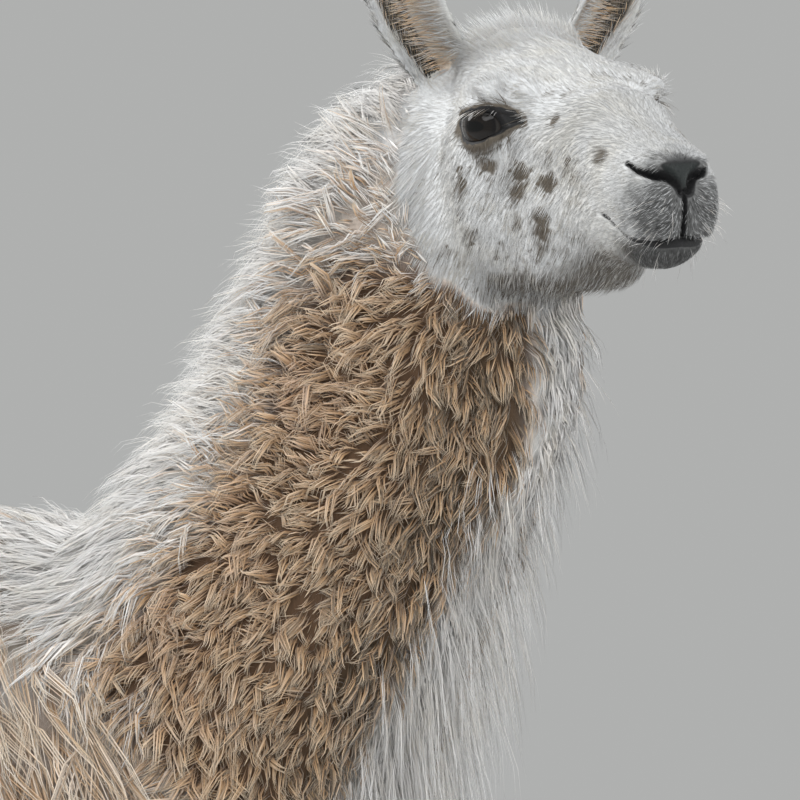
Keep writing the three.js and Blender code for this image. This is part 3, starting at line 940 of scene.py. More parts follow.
def across(vectors, normals):
    """The part of each vector that lies along the skin, made one long."""
    return unit(vectors - normals * dots(vectors, normals)[:, None])


def turned(vectors, axes, angles):
    """Each vector turned about its axis by its angle."""
    cos, sin = np.cos(angles)[:, None], np.sin(angles)[:, None]
    return vectors * cos + np.cross(axes, vectors) * sin


class Locks:
    """Where each strand of a coat runs. Every lock is a few strands whose tips draw together."""

    def __init__(self, places, lie, strands, seed):
        self.points, self.normals, self.marks = places
        self.random = np.random.default_rng(seed)
        self.strands = strands
        self.count = len(self.points)
        self.lie = across(lie, self.normals)

    def vary(self, middle, spread):
        """A value for each lock, spread evenly about the middle by a share of it."""
        return middle * (1 + spread * self.random.uniform(-1, 1, self.count))

    def wander(self, degrees, patch=0.04, seed=0):
        """Turns the lie of the locks, partly together in patches and partly each on its own."""
        own = self.random.normal(size=self.count)
        together = ripple(self.points, patch, 100 + seed)
        self.lie = turned(self.lie, self.normals, np.radians(degrees) * (0.6 * own + 0.7 * together))

    def column(self, value):
        """A value for every lock, shaped to spread over the points along it."""
        return np.broadcast_to(value, self.count).astype(float)[:, None, None]

    def middles(self, t, length, lift, fall, curl, turns, droop):
        """The middle line of every lock at shares t of its length: it rises, bends over, waves and droops."""
        normals, lie = self.normals[:, None], self.lie[:, None]
        side = np.cross(self.normals, self.lie)[:, None]
        phase = self.random.uniform(0, TAU, self.count)[:, None, None]
        level = np.sqrt(np.maximum(1 - lift**2, 0.05))
        middle = self.points[:, None] + lie * (length * level * t)
        middle = middle + normals * (length * lift * t * (1 - fall * t))
        middle = middle + DOWN * (length * droop * t**2)
        wave = curl * np.sqrt(t)
        angle = TAU * turns * t + phase
        middle = middle + side * (wave * (np.sin(angle) - np.sin(phase) * (1 - t)))
        return middle + normals * (0.6 * wave * (np.cos(angle) - np.cos(phase) * (1 - t)))

    def paths(
        self,
        steps,
        length,
        lift,
        fall,
        spread=0.0,
        draw=0.85,
        curl=0.0,
        turns=1.0,
        droop=0.0,
        fray=0.15,
        over=None,
    ):
        """Points along every strand, from root to tip, as an array (strands, steps, 3).

        The roots of a lock are spread over a disc, and its tips are drawn together. A lock that is
        longer than the body's curves are wide is laid over the hide given as over.
        """
        count, random = self.count, self.random
        t = np.asarray(steps)[None, :, None]
        middle = self.middles(t, *map(self.column, (length, lift, fall, curl, turns, droop)))
        normals, lie = self.normals[:, None], self.lie[:, None]
        side = np.cross(self.normals, self.lie)[:, None]
        if over is not None:
            middle = over.laid(middle, ((middle - middle[:, :1]) * normals).sum(axis=2))
        spread = self.column(spread)
        every, outward = [], []
        for _ in range(self.strands):
            angle = random.uniform(0, TAU, count)[:, None, None]
            away = np.sqrt(random.random(count))[:, None, None] * spread
            offset = side * (np.cos(angle) * away) + lie * (np.sin(angle) * away)
            outward.append(offset[:, 0] / np.maximum(spread[:, 0], 1e-6))
            stray = side * random.normal(size=(count, 1, 1)) + normals * random.normal(size=(count, 1, 1))
            own_length = 1 + 0.22 * random.uniform(-1, 1, (count, 1, 1))
            run = (middle - middle[:, :1]) * own_length + middle[:, :1]
            every.append(run + offset * (1 - draw * t) + stray * fray * spread * t)
        self.outward = np.concatenate(outward)
        return np.concatenate(every)


def rooted(hide, density, count, seed, lie, strands=1):
    """Locks scattered over the hide, as thick as the density says, lying the way that lie gives."""
    places = hide.scatter(density, count, seed)
    return Locks(places, lie(places[0]), strands, seed + 1)


# ------------------------------------------------------------------ strands as meshes
STRAND_SIDES = 3
ROOT_GIRTH = 0.55  # the width just off the root, as a share of a strand's full width
LEAN = 0.7  # how far the shading of a strand leans towards the skin's own
ROUNDNESS = 0.8  # how far that of a lock turns outwards to its sides
PATCH = 0.003  # a strand's own patch on the unwrap of the skin
FIBRE_ROUND, FIBRE_ALONG = 1.7, 1.6  # how much of the fibres' noise a strand crosses, round it and along it
FIBRE_APART = 90  # how far apart in that noise the strands are
MOST_TRIANGLES = 190_000  # in one piece of the coat
LONGEST_STEP = 4.0  # in middle steps; a strand with a longer one was laid over a gap, and is left out


def strand_points(paths, width, facings, flat, random):
    """Each strand's points: its root, the rings between, which swell and then taper, and its tip."""
    count, steps = paths.shape[:2]
    way = np.gradient(paths, axis=1)
    way /= np.maximum(np.linalg.norm(way, axis=2, keepdims=True), 1e-9)
    start = np.cross(way[:, 0], facings + 0.7 * random.normal(size=(count, 3)))
    side = unit(start)[:, None]
    side = side - way * np.einsum("ijk,ijk->ij", way, np.broadcast_to(side, way.shape))[..., None]
    side /= np.maximum(np.linalg.norm(side, axis=2, keepdims=True), 1e-9)
    up = np.cross(way, side)
    at = np.arange(1, steps - 1) / (steps - 1)
    swell = np.sin(np.pi * np.minimum(at * 1.1 + 0.2, 1.0) ** 0.8)
    girth = (ROOT_GIRTH + (1 - ROOT_GIRTH) * swell) * (1 - at**2.2 * 0.45)
    radius = (width[:, None] * 0.5 * girth[None, :])[..., None]
    turns = np.arange(STRAND_SIDES) * TAU / STRAND_SIDES
    rounds = [math.cos(turn) * side[:, 1:-1] + math.sin(turn) * flat * up[:, 1:-1] for turn in turns]
    corners = [paths[:, 1:-1] + radius * spoke for spoke in rounds]
    ring_points = np.stack(corners, axis=2).reshape(count, -1, 3)
    return np.concatenate((paths[:, :1], ring_points, paths[:, -1:]), axis=1), at, turns


def strand_faces(rings):
    """One strand's faces, a fan at each end and quads between: all their corners, and each one's size."""
    sides = STRAND_SIDES
    tip = 1 + rings * sides
    after = [(k + 1) % sides for k in range(sides)]
    fans = [(0, 1 + after[k], 1 + k) for k in range(sides)]
    fans += [(tip, tip - sides + k, tip - sides + after[k]) for k in range(sides)]
    quads = []
    for ring in range(rings - 1):
        low = 1 + sides * ring
        high = low + sides
        quads += [(low + k, low + after[k], high + after[k], high + k) for k in range(sides)]
    corners = [corner for face in fans + quads for corner in face]
    return np.array(corners, np.int32), np.array([3] * len(fans) + [4] * len(quads), np.int32)


def mesh_of_copies(name, points, corners, sizes):
    """A mesh with the same faces on each row of points, and the point at every face corner in turn."""
    count, size = points.shape[:2]
    loops = (np.arange(count, dtype=np.int32)[:, None] * size + corners[None]).ravel()
    totals = np.tile(sizes, count)
    starts = np.concatenate(((0,), np.cumsum(totals)[:-1])).astype(np.int32)
    mesh = bpy.data.meshes.new(name)
    mesh.vertices.add(count * size)
    mesh.vertices.foreach_set("co", points.astype(np.float32).ravel())
    mesh.loops.add(len(loops))
    mesh.loops.foreach_set("vertex_index", loops)
    mesh.polygons.add(len(totals))
    mesh.polygons.foreach_set("loop_start", starts)
    mesh.polygons.foreach_set("loop_total", totals)
    mesh.update(calc_edges=True)
    return mesh, loops


def strands(name, paths, width, marks, facings, unwrap, slot, material, flat):
    """One mesh of closed, tapered strands. Their colours ride along as attributes.

    Their shading leans towards the way the skin faces under them, as light passes through real wool.
    """
    count = len(paths)
    random = np.random.default_rng(count)
    points, at, turns = strand_points(paths, width, facings, flat, random)
    size = points.shape[1]
    corners, sizes = strand_faces(len(at))
    mesh, loops = mesh_of_copies(name, points, corners, sizes)

    along = np.concatenate(((0.0,), np.repeat(at, STRAND_SIDES), (1.0,)))
    chance = random.random(count)
    put_attribute(mesh, "marks", np.repeat(marks[:, :3], size, axis=0))
    lock = np.stack((np.repeat(marks[:, 3], size), np.tile(along, count), np.repeat(chance, size)), axis=1)
    put_attribute(mesh, "lock", lock)
    ring_turns = np.tile(turns, len(at))
    fibre = np.zeros((count, size, 3))
    fibre[:, 1:-1, 0] = np.cos(ring_turns) * FIBRE_ROUND
    fibre[:, 1:-1, 1] = np.sin(ring_turns) * FIBRE_ROUND
    fibre[:, :, 2] = along * FIBRE_ALONG
    fibre += (chance * FIBRE_APART)[:, None, None]
    put_attribute(mesh, "fibre", fibre.reshape(-1, 3))

    around = 0.1 + 0.8 * np.arange(STRAND_SIDES) / (STRAND_SIDES - 1)
    around = np.concatenate(((0.5,), np.tile(around, len(at)), (0.5,)))
    uv = unwrap[:, None, :] + PATCH * (np.stack((around, along), axis=1) - 0.5)[None]
    layer = mesh.uv_layers.new(name="OFBake")
    layer.uv.foreach_set("vector", uv.reshape(-1, 2)[loops].astype(np.float32).ravel())
    mesh.materials.append(material)
    finished(new_object(name, mesh))
    own = points_of(mesh, "normal")
    lean = unit(own * (1 - LEAN) + np.repeat(facings, size, axis=0) * LEAN)
    mesh.normals_split_custom_set_from_vertices(lean)


def coat(name, locks, paths, width, unwrap, slot, material, flat=0.6):
    """Builds a coat, in as many pieces as its triangles need, each on its own share of the unwrap."""
    repeats = len(paths) // locks.count
    marks = np.concatenate([locks.marks] * repeats)
    fawn = marks[:, 0]
    mixed = smooth(0.0, 0.12, fawn) * smooth(0.75, 0.45, fawn)
    fawn += 0.30 * locks.random.uniform(-1, 1, len(fawn)) * mixed
    facings = unit(np.concatenate([locks.normals] * repeats) + ROUNDNESS * locks.outward)
    width = np.concatenate([np.broadcast_to(width, locks.count)] * repeats)
    step = np.linalg.norm(np.diff(paths, axis=1), axis=2).max(axis=1)
    sound = np.flatnonzero(step < LONGEST_STEP * np.median(step))
    triangles_each = 2 * STRAND_SIDES * (paths.shape[1] - 2)
    pieces = math.ceil(len(sound) * triangles_each / MOST_TRIANGLES)
    order = sound[np.argsort(unwrap[sound, 1], kind="stable")]
    for index, share in enumerate(np.array_split(order, pieces)):
        place = unwrap[share]
        low, high = place.min(axis=0), place.max(axis=0)
        place = 0.01 + 0.98 * (place - low) / (high - low)
        label = f"{name}_{index + 1}" if pieces > 1 else name
        strands(label, paths[share], width[share], marks[share], facings[share], place, slot, material, flat)


# ------------------------------------------------------------------ unwraps of the skin's own shape
def round_unwrap(angle, along):
    """Round a middle line: the angle about it across, and the distance along it up."""
    return np.stack((np.degrees(angle) / 360 + 0.5, along), axis=1)


def head_unwrap(points):
    """Round the head from nose to poll; the rings close over the nose."""
    local = to_head(points)
    centre = np.array((-0.02, 0.0, -0.04))
    away = unit(local - centre)
    angle = np.arctan2(local[:, 1], local[:, 2] + 0.04)
    return round_unwrap(angle, np.arccos(np.clip(away[:, 0], -1, 1)) / np.pi)


def ear_unwrap(points, normals):
    """Each ear round its own middle line; its inner face lies above its outer one."""
    local = to_head(points)
    side = np.sign(local[:, 1])
    middle_out = np.interp(local[:, 2], (0.03, 0.10, 0.17), (0.048, 0.087, 0.084))
    angle = np.arctan2(np.abs(local[:, 1]) - middle_out, local[:, 0] + 0.085)
    inner = (normals @ HEAD_AXES)[:, 0] > 0.0
    u = 0.25 + 0.24 * angle / np.pi + 0.5 * (side > 0)
    return np.stack((u, 0.5 * (local[:, 2] / 0.2) + 0.5 * inner), axis=1)


def neck_unwrap(points):
    """Round the neck's middle line, from the chest to the skull."""
    along, ways, out = NECK.near(points)
    return round_unwrap(np.arctan2(out[:, 1], -dots(out, throat_way(ways))), along)


def trunk_unwrap(points):
    """Round a level line through the trunk, with the seam under the belly."""
    body = points - BODY_AT
    return round_unwrap(np.arctan2(body[:, 1], body[:, 2] - 0.92), body[:, 0])


def leg_unwrap(points):
    """Each leg round its own line, in a column of its own."""
    body = points - BODY_AT
    fore = body[:, 0] > -0.25
    middle = np.where(fore, 0.130, -0.690 + 0.08 * smooth(0.5, 0.7, body[:, 2]))
    column = 2 * fore + (body[:, 1] > 0)
    angle = np.arctan2(body[:, 0] - middle, np.abs(body[:, 1]) - 0.103)
    return np.stack(((column + 0.5 + angle / TAU * 0.96) / 4, body[:, 2]), axis=1)


def tail_unwrap(points):
    """Round an upright line through the tail."""
    body = points - BODY_AT
    return round_unwrap(np.arctan2(body[:, 1], -(body[:, 0] + 0.87)), body[:, 2])


# ------------------------------------------------------------------ the lie of the coat
def face_lie(points):
    """Hair runs back from the nose, slants down over the cheek, and parts round each eye."""
    local = to_head(points)
    way = np.zeros_like(local)
    cheek = smooth(0.135, 0.06, local[:, 0]) * smooth(0.012, -0.03, local[:, 2])
    crown = smooth(0.03, 0.055, local[:, 2]) * smooth(-0.01, -0.05, local[:, 0])
    way[:, 0] = -1.0 + 0.35 * crown
    way[:, 2] = -0.12 - 1.15 * cheek + 0.3 * crown
    for side in SIDES:
        away = local - eye_frame(side)[0]
        gap = np.linalg.norm(away, axis=1)
        pull = np.exp(-np.maximum(gap - EYE_RADIUS, 0.0) / 0.012)[:, None]
        way = way * (1 - 0.7 * pull) + 1.3 * pull * away / gap[:, None]
    front = smooth(0.150, 0.172, local[:, 0])[:, None]
    flat = np.zeros(len(local))
    outward = np.stack((flat - 0.5, np.clip(local[:, 1] / 0.015, -1, 1) * 0.9, flat - 0.55), axis=1)
    way = way * (1 - front) + outward * front
    chin = smooth(-0.072, -0.08, local[:, 2])[:, None] * smooth(0.11, 0.13, local[:, 0])[:, None]
    way = way * (1 - chin) + np.array((-0.25, 0.0, -1.0)) * chin
    return way @ HEAD_AXES.T


def body_lie(points):
    """Fleece falls from the spine down the sides, forwards over the shoulder and back over the rump."""
    body = points - BODY_AT
    way = np.zeros_like(body)
    way[:, 0] = 0.80 * smooth(-0.35, 0.05, body[:, 0]) - 0.35 * smooth(-0.5, -0.85, body[:, 0])
    way[:, 1] = np.clip(body[:, 1] / 0.04, -1, 1) * 0.9
    way[:, 2] = -1.0
    ridge = (smooth(0.085, 0.02, np.abs(body[:, 1])) * smooth(0.90, 0.98, body[:, 2]))[:, None]
    along_spine = np.stack((np.full(len(body), -1.0), body[:, 1] / 0.08, np.zeros(len(body))), axis=1)
    return way * (1 - ridge) + along_spine * ridge


def neck_lie(points):
    """Wool falls down the throat side of the neck and is drawn back towards the nape behind that."""
    along, ways, turn = neck_place(points)
    high = smooth(0.18, 0.42, along)
    down = 1.0 - 0.85 * high * smooth(35, 75, turn)
    back = 0.05 + (0.15 + 1.15 * high) * smooth(45, 100, turn) - 0.45 * smooth(32, 12, turn)
    low = 0.7 * smooth(0.30, 0.08, along) * smooth(150, 110, turn)
    way = -ways * down[:, None] - throat_way(ways) * back[:, None]
    return way * (1 - low[:, None]) + DOWN * low[:, None]


# ------------------------------------------------------------------ the coat, region by region
class Zones:
    """How much each vertex of the skin belongs to the regions that are furred in their own way."""

    def __init__(self, hide):
        points, labels = hide.points, hide.labels
        local = to_head(points)
        body = points - BODY_AT
        head = belongs(labels, SKULL)
        behind = wool_edge(local)
        self.wool = np.where(head, smooth(-0.003, 0.008, behind), belongs(labels, ["neck"]) * 1.0)
        open_eye = np.min([lid_distance(local, side)[0] for side in SIDES], axis=0)
        self.face = head * smooth(0.012, -0.002, behind) * (open_eye > 1.2 * MM)
        self.face *= 1.0 - 0.96 * smooth(0.35, 0.8, hide.marks[:, 3])
        self.ears = belongs(labels, EARS) * 1.0
        legs = belongs(labels, LEG_FLESH)
        shoulder = legs * smooth(-0.50, -0.40, body[:, 0]) * smooth(0.60, 0.70, body[:, 2])
        self.trunk = np.maximum(belongs(labels, ["trunk"]), shoulder)
        self.thighs = legs * smooth(0.40, 0.52, body[:, 2]) * (1 - shoulder)
        self.shanks = legs * smooth(0.52, 0.42, body[:, 2]) * (body[:, 2] > 0.012)
        self.tail = belongs(labels, ["tail"]) * 1.0


# Shares of a strand's length at which it can bend.
LOCK_STEPS = (0, 0.3, 0.56, 0.8, 1)
WAVE_STEPS = (0, 0.42, 0.76, 1)
HAIR_STEPS = (0, 0.45, 1)

# How many hairs, or locks of several strands, each part of the coat has.
FACE_HAIRS = 29000
EAR_HAIRS = 8500
NECK_LOCKS = 5250
NECK_UNDERWOOL = 5000
FRINGE_LOCKS = 2800
TRUNK_LOCKS = 2700
THIGH_LOCKS = 1000
SHANK_HAIRS = 8000
TAIL_LOCKS = 450
LASHES = 34  # on each side
WHISKERS = 90


def face_hair(hide, zones, material):
    """Short white hair, shortest on the muzzle, longer on the crown, the brows and under the jaw."""
    local = to_head(hide.points)
    density = zones.face * (1 + 2.0 * smooth(0.11, 0.15, local[:, 0]))
    locks = rooted(hide, density, FACE_HAIRS, 52, face_lie)
    locks.wander(9, 0.025, 1)
    local = to_head(locks.points)
    muzzle = smooth(0.095, 0.15, local[:, 0])
    crown = smooth(0.030, 0.050, local[:, 2]) * smooth(-0.02, -0.06, local[:, 0])
    eye_gap = eyeball_gap(local)
    lids = smooth(0.016, 0.004, eye_gap)
    cheek = smooth(-0.03, 0.0, wool_edge(local))
    brow = smooth(0.032, 0.012, eye_gap) * smooth(0.004, 0.012, eye_gap) * smooth(-0.015, 0.02, local[:, 0])
    beard = smooth(-0.3, -0.8, locks.normals[:, 2]) * smooth(0.115, 0.09, local[:, 0])
    length = locks.vary(9.0, 0.4) * (1 - 0.5 * muzzle) * (1 + 1.9 * crown) * (1 - 0.4 * lids)
    length *= (1 + 0.8 * cheek) * (1 + 0.8 * brow)
    length *= 1 + (0.4 + 0.5 * smooth(0.07, 0.03, local[:, 0])) * beard
    lift = 0.13 + 0.10 * muzzle + 0.55 * crown + 0.10 * cheek + 0.28 * brow + 0.35 * beard
    paths = locks.paths(HAIR_STEPS, length * MM, lift, 0.55 - 0.35 * crown, droop=0.04)
    width = locks.vary(0.72, 0.3) * (1 - 0.32 * muzzle) * MM
    coat("face_hair", locks, paths, width, head_unwrap(paths[:, 0]), "white_coat", material)


def ear_hair(hide, zones, material):
    """White fur outside, longer along the outer rim; pale hairs fan across the cup from the inner rim."""
    places = hide.scatter(zones.ears, EAR_HAIRS, 61)
    local = to_head(places[0])
    side = np.sign(local[:, 1])
    across_ear, hollow = ear_place(local, places[1] @ HEAD_AXES)
    fan = hollow * smooth(0.45, -0.1, across_ear)
    rim = smooth(0.7, 0.95, across_ear)
    forward = 0.2 * hollow - 0.3 * (1 - hollow)
    outward = side * (0.25 * (1 - hollow) + 1.1 * fan + 0.9 * rim)
    upward = 1.0 - 1.3 * fan
    locks = Locks(places, np.stack((forward, outward, upward), axis=1) @ HEAD_AXES.T, 1, 62)
    locks.wander(12, 0.02, 2)
    locks.marks[:, 3] = 0.0
    tip = smooth(0.18, 0.13, local[:, 2])
    length = locks.vary(8.0, 0.3) * (1 + 1.2 * fan + 0.5 * rim) * (0.5 + 0.5 * tip)
    paths = locks.paths(HAIR_STEPS, length * MM, 0.2 + 0.3 * fan + 0.3 * rim, 0.3)
    width = locks.vary(0.8, 0.3) * MM
    coat("ear_hair", locks, paths, width, ear_unwrap(paths[:, 0], locks.normals), "white_coat", material)


def neck_wool(hide, zones, material):
    """Matted curly locks: short and tight on the sides, longer and swept back at the nape."""
    _, _, turn = neck_place(hide.points)
    side = smooth(18, 34, turn) * smooth(150, 115, turn)
    locks = rooted(hide, zones.wool * (0.6 + 0.4 * side), NECK_LOCKS, 71, neck_lie, 9)
    along, _, turn = neck_place(locks.points)
    side = smooth(18, 40, turn) * smooth(140, 110, turn)
    locks.wander(22 + 20 * side, 0.035, 3)
    edge = smooth(0.03, 0.0, wool_edge(to_head(locks.points)))
    low = smooth(0.20, 0.0, along)
    back = smooth(80, 125, turn)
    white = smooth(0.35, 0.0, locks.marks[:, 0])
    clump = 0.25 * ripple(locks.points, 0.035, 50)
    topknot = smooth(0.40, 0.50, along) * smooth(95, 130, turn)
    length = locks.vary(28, 0.35) * (1 + 1.2 * low + 0.6 * back - 0.35 * edge + clump + 0.7 * topknot)
    lift = np.clip(0.74 - 0.2 * edge - 0.32 * low - 0.25 * white + 0.4 * clump, 0.15, 0.85)
    waves = {
        "curl": locks.vary(3.4, 0.6) * (0.4 + 0.6 * side) * (1 - 0.5 * edge) * MM,
        "turns": locks.vary(0.85, 0.4),
        "droop": 0.10,
        "fray": 0.22,
    }
    fall = 0.72 - 0.25 * white
    paths = locks.paths(WAVE_STEPS, length * MM, lift, fall, 5.4 * MM, draw=0.66, over=hide, **waves)
    width = locks.vary(1.35, 0.35) * (1 - 0.3 * edge) * MM
    coat("neck_wool", locks, paths, width, neck_unwrap(paths[:, 0]), "fawn_fleece", material)


def neck_underwool(hide, zones, material):
    """Short broad wisps close to the skin, darkened towards their roots as painted shade, so that they show
    dark between the locks.
    """
    locks = rooted(hide, zones.wool, NECK_UNDERWOOL, 73, neck_lie)
    locks.wander(40, 0.035, 3)
    paths = locks.paths(HAIR_STEPS, locks.vary(17, 0.3) * MM, 0.45, 0.6)
    width = locks.vary(2.2, 0.4) * MM
    coat("neck_underwool", locks, paths, width, neck_unwrap(paths[:, 0]), "fawn_fleece", material)


def throat_fringe(hide, zones, material):
    """Long white hairs that stand out from the throat and the nape."""
    along, _, turn = neck_place(hide.points)
    reach = (hide.points - HEAD_CUT_AT) @ HEAD_CUT_WAY
    front = smooth(36, 16, turn) * belongs(hide.labels, ["neck"]) * smooth(0.0, -0.03, reach)
    nape = smooth(112, 135, turn) * (0.5 + 0.6 * smooth(0.25, 0.4, along))
    locks = rooted(hide, zones.wool * (front + nape), FRINGE_LOCKS, 81, neck_lie, 3)
    locks.marks[:, :2] *= 0.1
    locks.wander(16, 0.05, 4)
    along, _, turn = neck_place(locks.points)
    nape = smooth(90, 120, turn)
    full = np.maximum(smooth(0.40, 0.28, along), nape)
    length = locks.vary(82, 0.4) * (1 - 0.45 * nape) * (0.55 + 0.45 * full) * MM
    waves = {"curl": 2.5 * MM, "droop": 0.2, "fray": 0.9}
    paths = locks.paths(WAVE_STEPS, length, 0.78 - 0.10 * nape, 0.28, 2.5 * MM, draw=0.5, **waves)
    width = locks.vary(0.62, 0.3) * MM
    coat("throat_fringe", locks, paths, width, neck_unwrap(paths[:, 0]), "white_coat", material)


def shoulders(points):
    """1 on the shoulders and withers, where the fleece is finest, and 0 further back and below."""
    body = points - BODY_AT
    return smooth(-0.42, -0.18, body[:, 0]) * smooth(0.65, 0.85, body[:, 2])


def trunk_fleece(hide, zones, material):
    """Long soft fleece in flat waving locks, shorter under the belly and finer on the shoulders."""
    body = hide.points - BODY_AT
    ridge = smooth(0.08, 0.03, np.abs(body[:, 1])) * smooth(0.92, 1.0, body[:, 2])
    front = smooth(0.00, 0.08, body[:, 0])
    rump = smooth(-0.60, -0.80, body[:, 0])
    density = zones.trunk * (1 + 1.8 * shoulders(hide.points) + 3.5 * front + 0.8 * ridge + 0.8 * rump)
    locks = rooted(hide, density, TRUNK_LOCKS, 91, body_lie, 8)
    locks.wander(19, 0.10, 5)
    belly = smooth(0.78, 0.69, locks.points[:, 2])
    shoulder = shoulders(locks.points)
    length = locks.vary(105, 0.3) * (1 - 0.45 * belly + 0.12 * shoulder) * MM
    waves = {"curl": locks.vary(8.0, 0.5) * MM, "turns": locks.vary(0.9, 0.4), "droop": 0.05}
    spread = 13.0 * MM * (1 - 0.4 * shoulder)
    paths = locks.paths(LOCK_STEPS, length, 0.34 - 0.10 * belly, 0.55, spread, draw=0.72, over=hide, **waves)
    width = locks.vary(4.0, 0.3) * (1 - 0.67 * shoulder) * MM
    coat("trunk_fleece", locks, paths, width, trunk_unwrap(paths[:, 0]), "white_coat", material)


def thigh_hair(hide, zones, material):
    """Locks that shorten down the upper legs."""
    locks = rooted(hide, zones.thighs, THIGH_LOCKS, 101, lambda points: body_lie(points) * (0.3, 0.2, 1), 7)
    locks.wander(14, 0.08, 6)
    wool = smooth(0.44, 0.70, locks.points[:, 2])
    length = locks.vary(32, 0.3) * (1 + 1.5 * wool) * MM
    paths = locks.paths(WAVE_STEPS, length, 0.30, 0.5, 9 * MM, draw=0.6, curl=2 * MM * (1 + wool), over=hide)
    width = locks.vary(2.9, 0.3) * MM
    coat("thigh_hair", locks, paths, width, leg_unwrap(paths[:, 0]), "white_coat", material)


def shank_hair(hide, zones, material):
    """Short close hair down the lower legs, shortest at the feet."""
    locks = rooted(hide, zones.shanks, SHANK_HAIRS, 103, lambda points: np.tile(DOWN, (len(points), 1)))
    locks.wander(10, 0.05, 7)
    height = locks.points[:, 2]
    length = locks.vary(9, 0.3) * (1 + 1.0 * smooth(0.2, 0.45, height)) * smooth(-0.02, 0.06, height) * MM
    paths = locks.paths(HAIR_STEPS, length, 0.16, 0.5)
    width = locks.vary(1.3, 0.3) * MM
    coat("shank_hair", locks, paths, width, leg_unwrap(paths[:, 0]), "white_coat", material)


def tail_wool(hide, zones, material):
    """Hanging locks, longest at the top of the tail."""
    lie = lambda points: np.tile((-0.25, 0.0, -1.0), (len(points), 1))
    locks = rooted(hide, zones.tail, TAIL_LOCKS, 111, lie, 8)
    locks.wander(14, 0.06, 8)
    length = locks.vary(80, 0.3) * (0.35 + 0.65 * smooth(0.80, 0.95, locks.points[:, 2])) * MM
    paths = locks.paths(WAVE_STEPS, length, 0.32, 0.5, 9 * MM, draw=0.6, curl=5 * MM, droop=0.05, over=hide)
    width = locks.vary(2.0, 0.3) * MM
    coat("tail_wool", locks, paths, width, tail_unwrap(paths[:, 0]), "white_coat", material)


def lashes(side, material):
    """Pale lashes over the back of the upper lid, pointing down and back, and short dark ones in front."""
    middle, forward, up, gaze = eye_frame(side)
    axes = np.stack((forward, up, gaze))
    random = np.random.default_rng(121)
    share = np.sort(random.uniform(0.03, 0.80, LASHES))
    x = EYE_BACK + (EYE_FRONT - EYE_BACK) * share
    y = lid_lines(x)[0] + random.uniform(0.2, 1.6, LASHES) * MM
    radius = EYE_RADIUS + LID_MARGIN + 0.2 * MM
    z = np.sqrt(np.maximum(radius**2 - x**2 - y**2, (4 * MM) ** 2))
    away = np.stack((x, y, z), axis=1) @ axes
    rear = smooth(0.75, 0.25, share)
    ways = np.stack((-0.30 - 0.50 * rear, -0.60 - 0.20 * rear, np.full(LASHES, 0.5)), axis=1) @ axes
    places = (from_head(middle + away), unit(away) @ HEAD_AXES.T, np.zeros((LASHES, 4)))
    locks = Locks(places, ways @ HEAD_AXES.T, 1, 122)
    locks.marks[:, 1] = np.where(random.random(LASHES) < 0.9 * smooth(0.35, 0.6, share), 0.95, 0.0)
    length = locks.vary(17.0, 0.25) * (0.5 + 0.5 * rear) * MM
    paths = locks.paths(WAVE_STEPS, length, 0.6, 0.25, droop=0.15)
    unwrap = head_unwrap(paths[:, 0])
    coat(f"lashes_{side}", locks, paths, 0.42 * MM, unwrap, "white_coat", material, flat=1.0)


def whiskers(hide, material):
    """A few long pale hairs on the lips and chin."""
    local = to_head(hide.points)
    zone = smooth(0.135, 0.16, local[:, 0]) * smooth(-0.035, -0.05, local[:, 2])
    locks = rooted(hide, zone * (np.abs(local[:, 1]) > 0.008), WHISKERS, 131, face_lie)
    locks.wander(22, 0.03, 9)
    locks.marks[:] = 0.0
    length = locks.vary(13, 0.4) * MM
    paths = locks.paths(WAVE_STEPS, length, 0.8, 0.2, droop=0.2)
    coat("whiskers", locks, paths, 0.32 * MM, head_unwrap(paths[:, 0]), "white_coat", material, flat=1.0)


# ------------------------------------------------------------------ finishes
WHITE = (0.68, 0.69, 0.69)
WOOL_WHITE = (0.96, 0.95, 0.93)
CREAM = (0.92, 0.83, 0.72)
YELLOWED = (0.97, 0.93, 0.85)
FAWN = (0.72, 0.41, 0.18)
FAWN_TIP = (0.97, 0.79, 0.57)
RUFOUS = (0.62, 0.34, 0.18)
# brown of the painted shade at the roots of fawn strands
ROOT_SHADE_UMBER = (0.085, 0.046, 0.026)
# dark brown of the face's patches, also used for painted shade under the jaw and between the neck's locks
SPOT_AND_SHADE = (0.090, 0.066, 0.038)
SMOKE = (0.060, 0.060, 0.058)
DARK_SKIN = (0.016, 0.016, 0.017)
SLATE = (0.015, 0.021, 0.020)


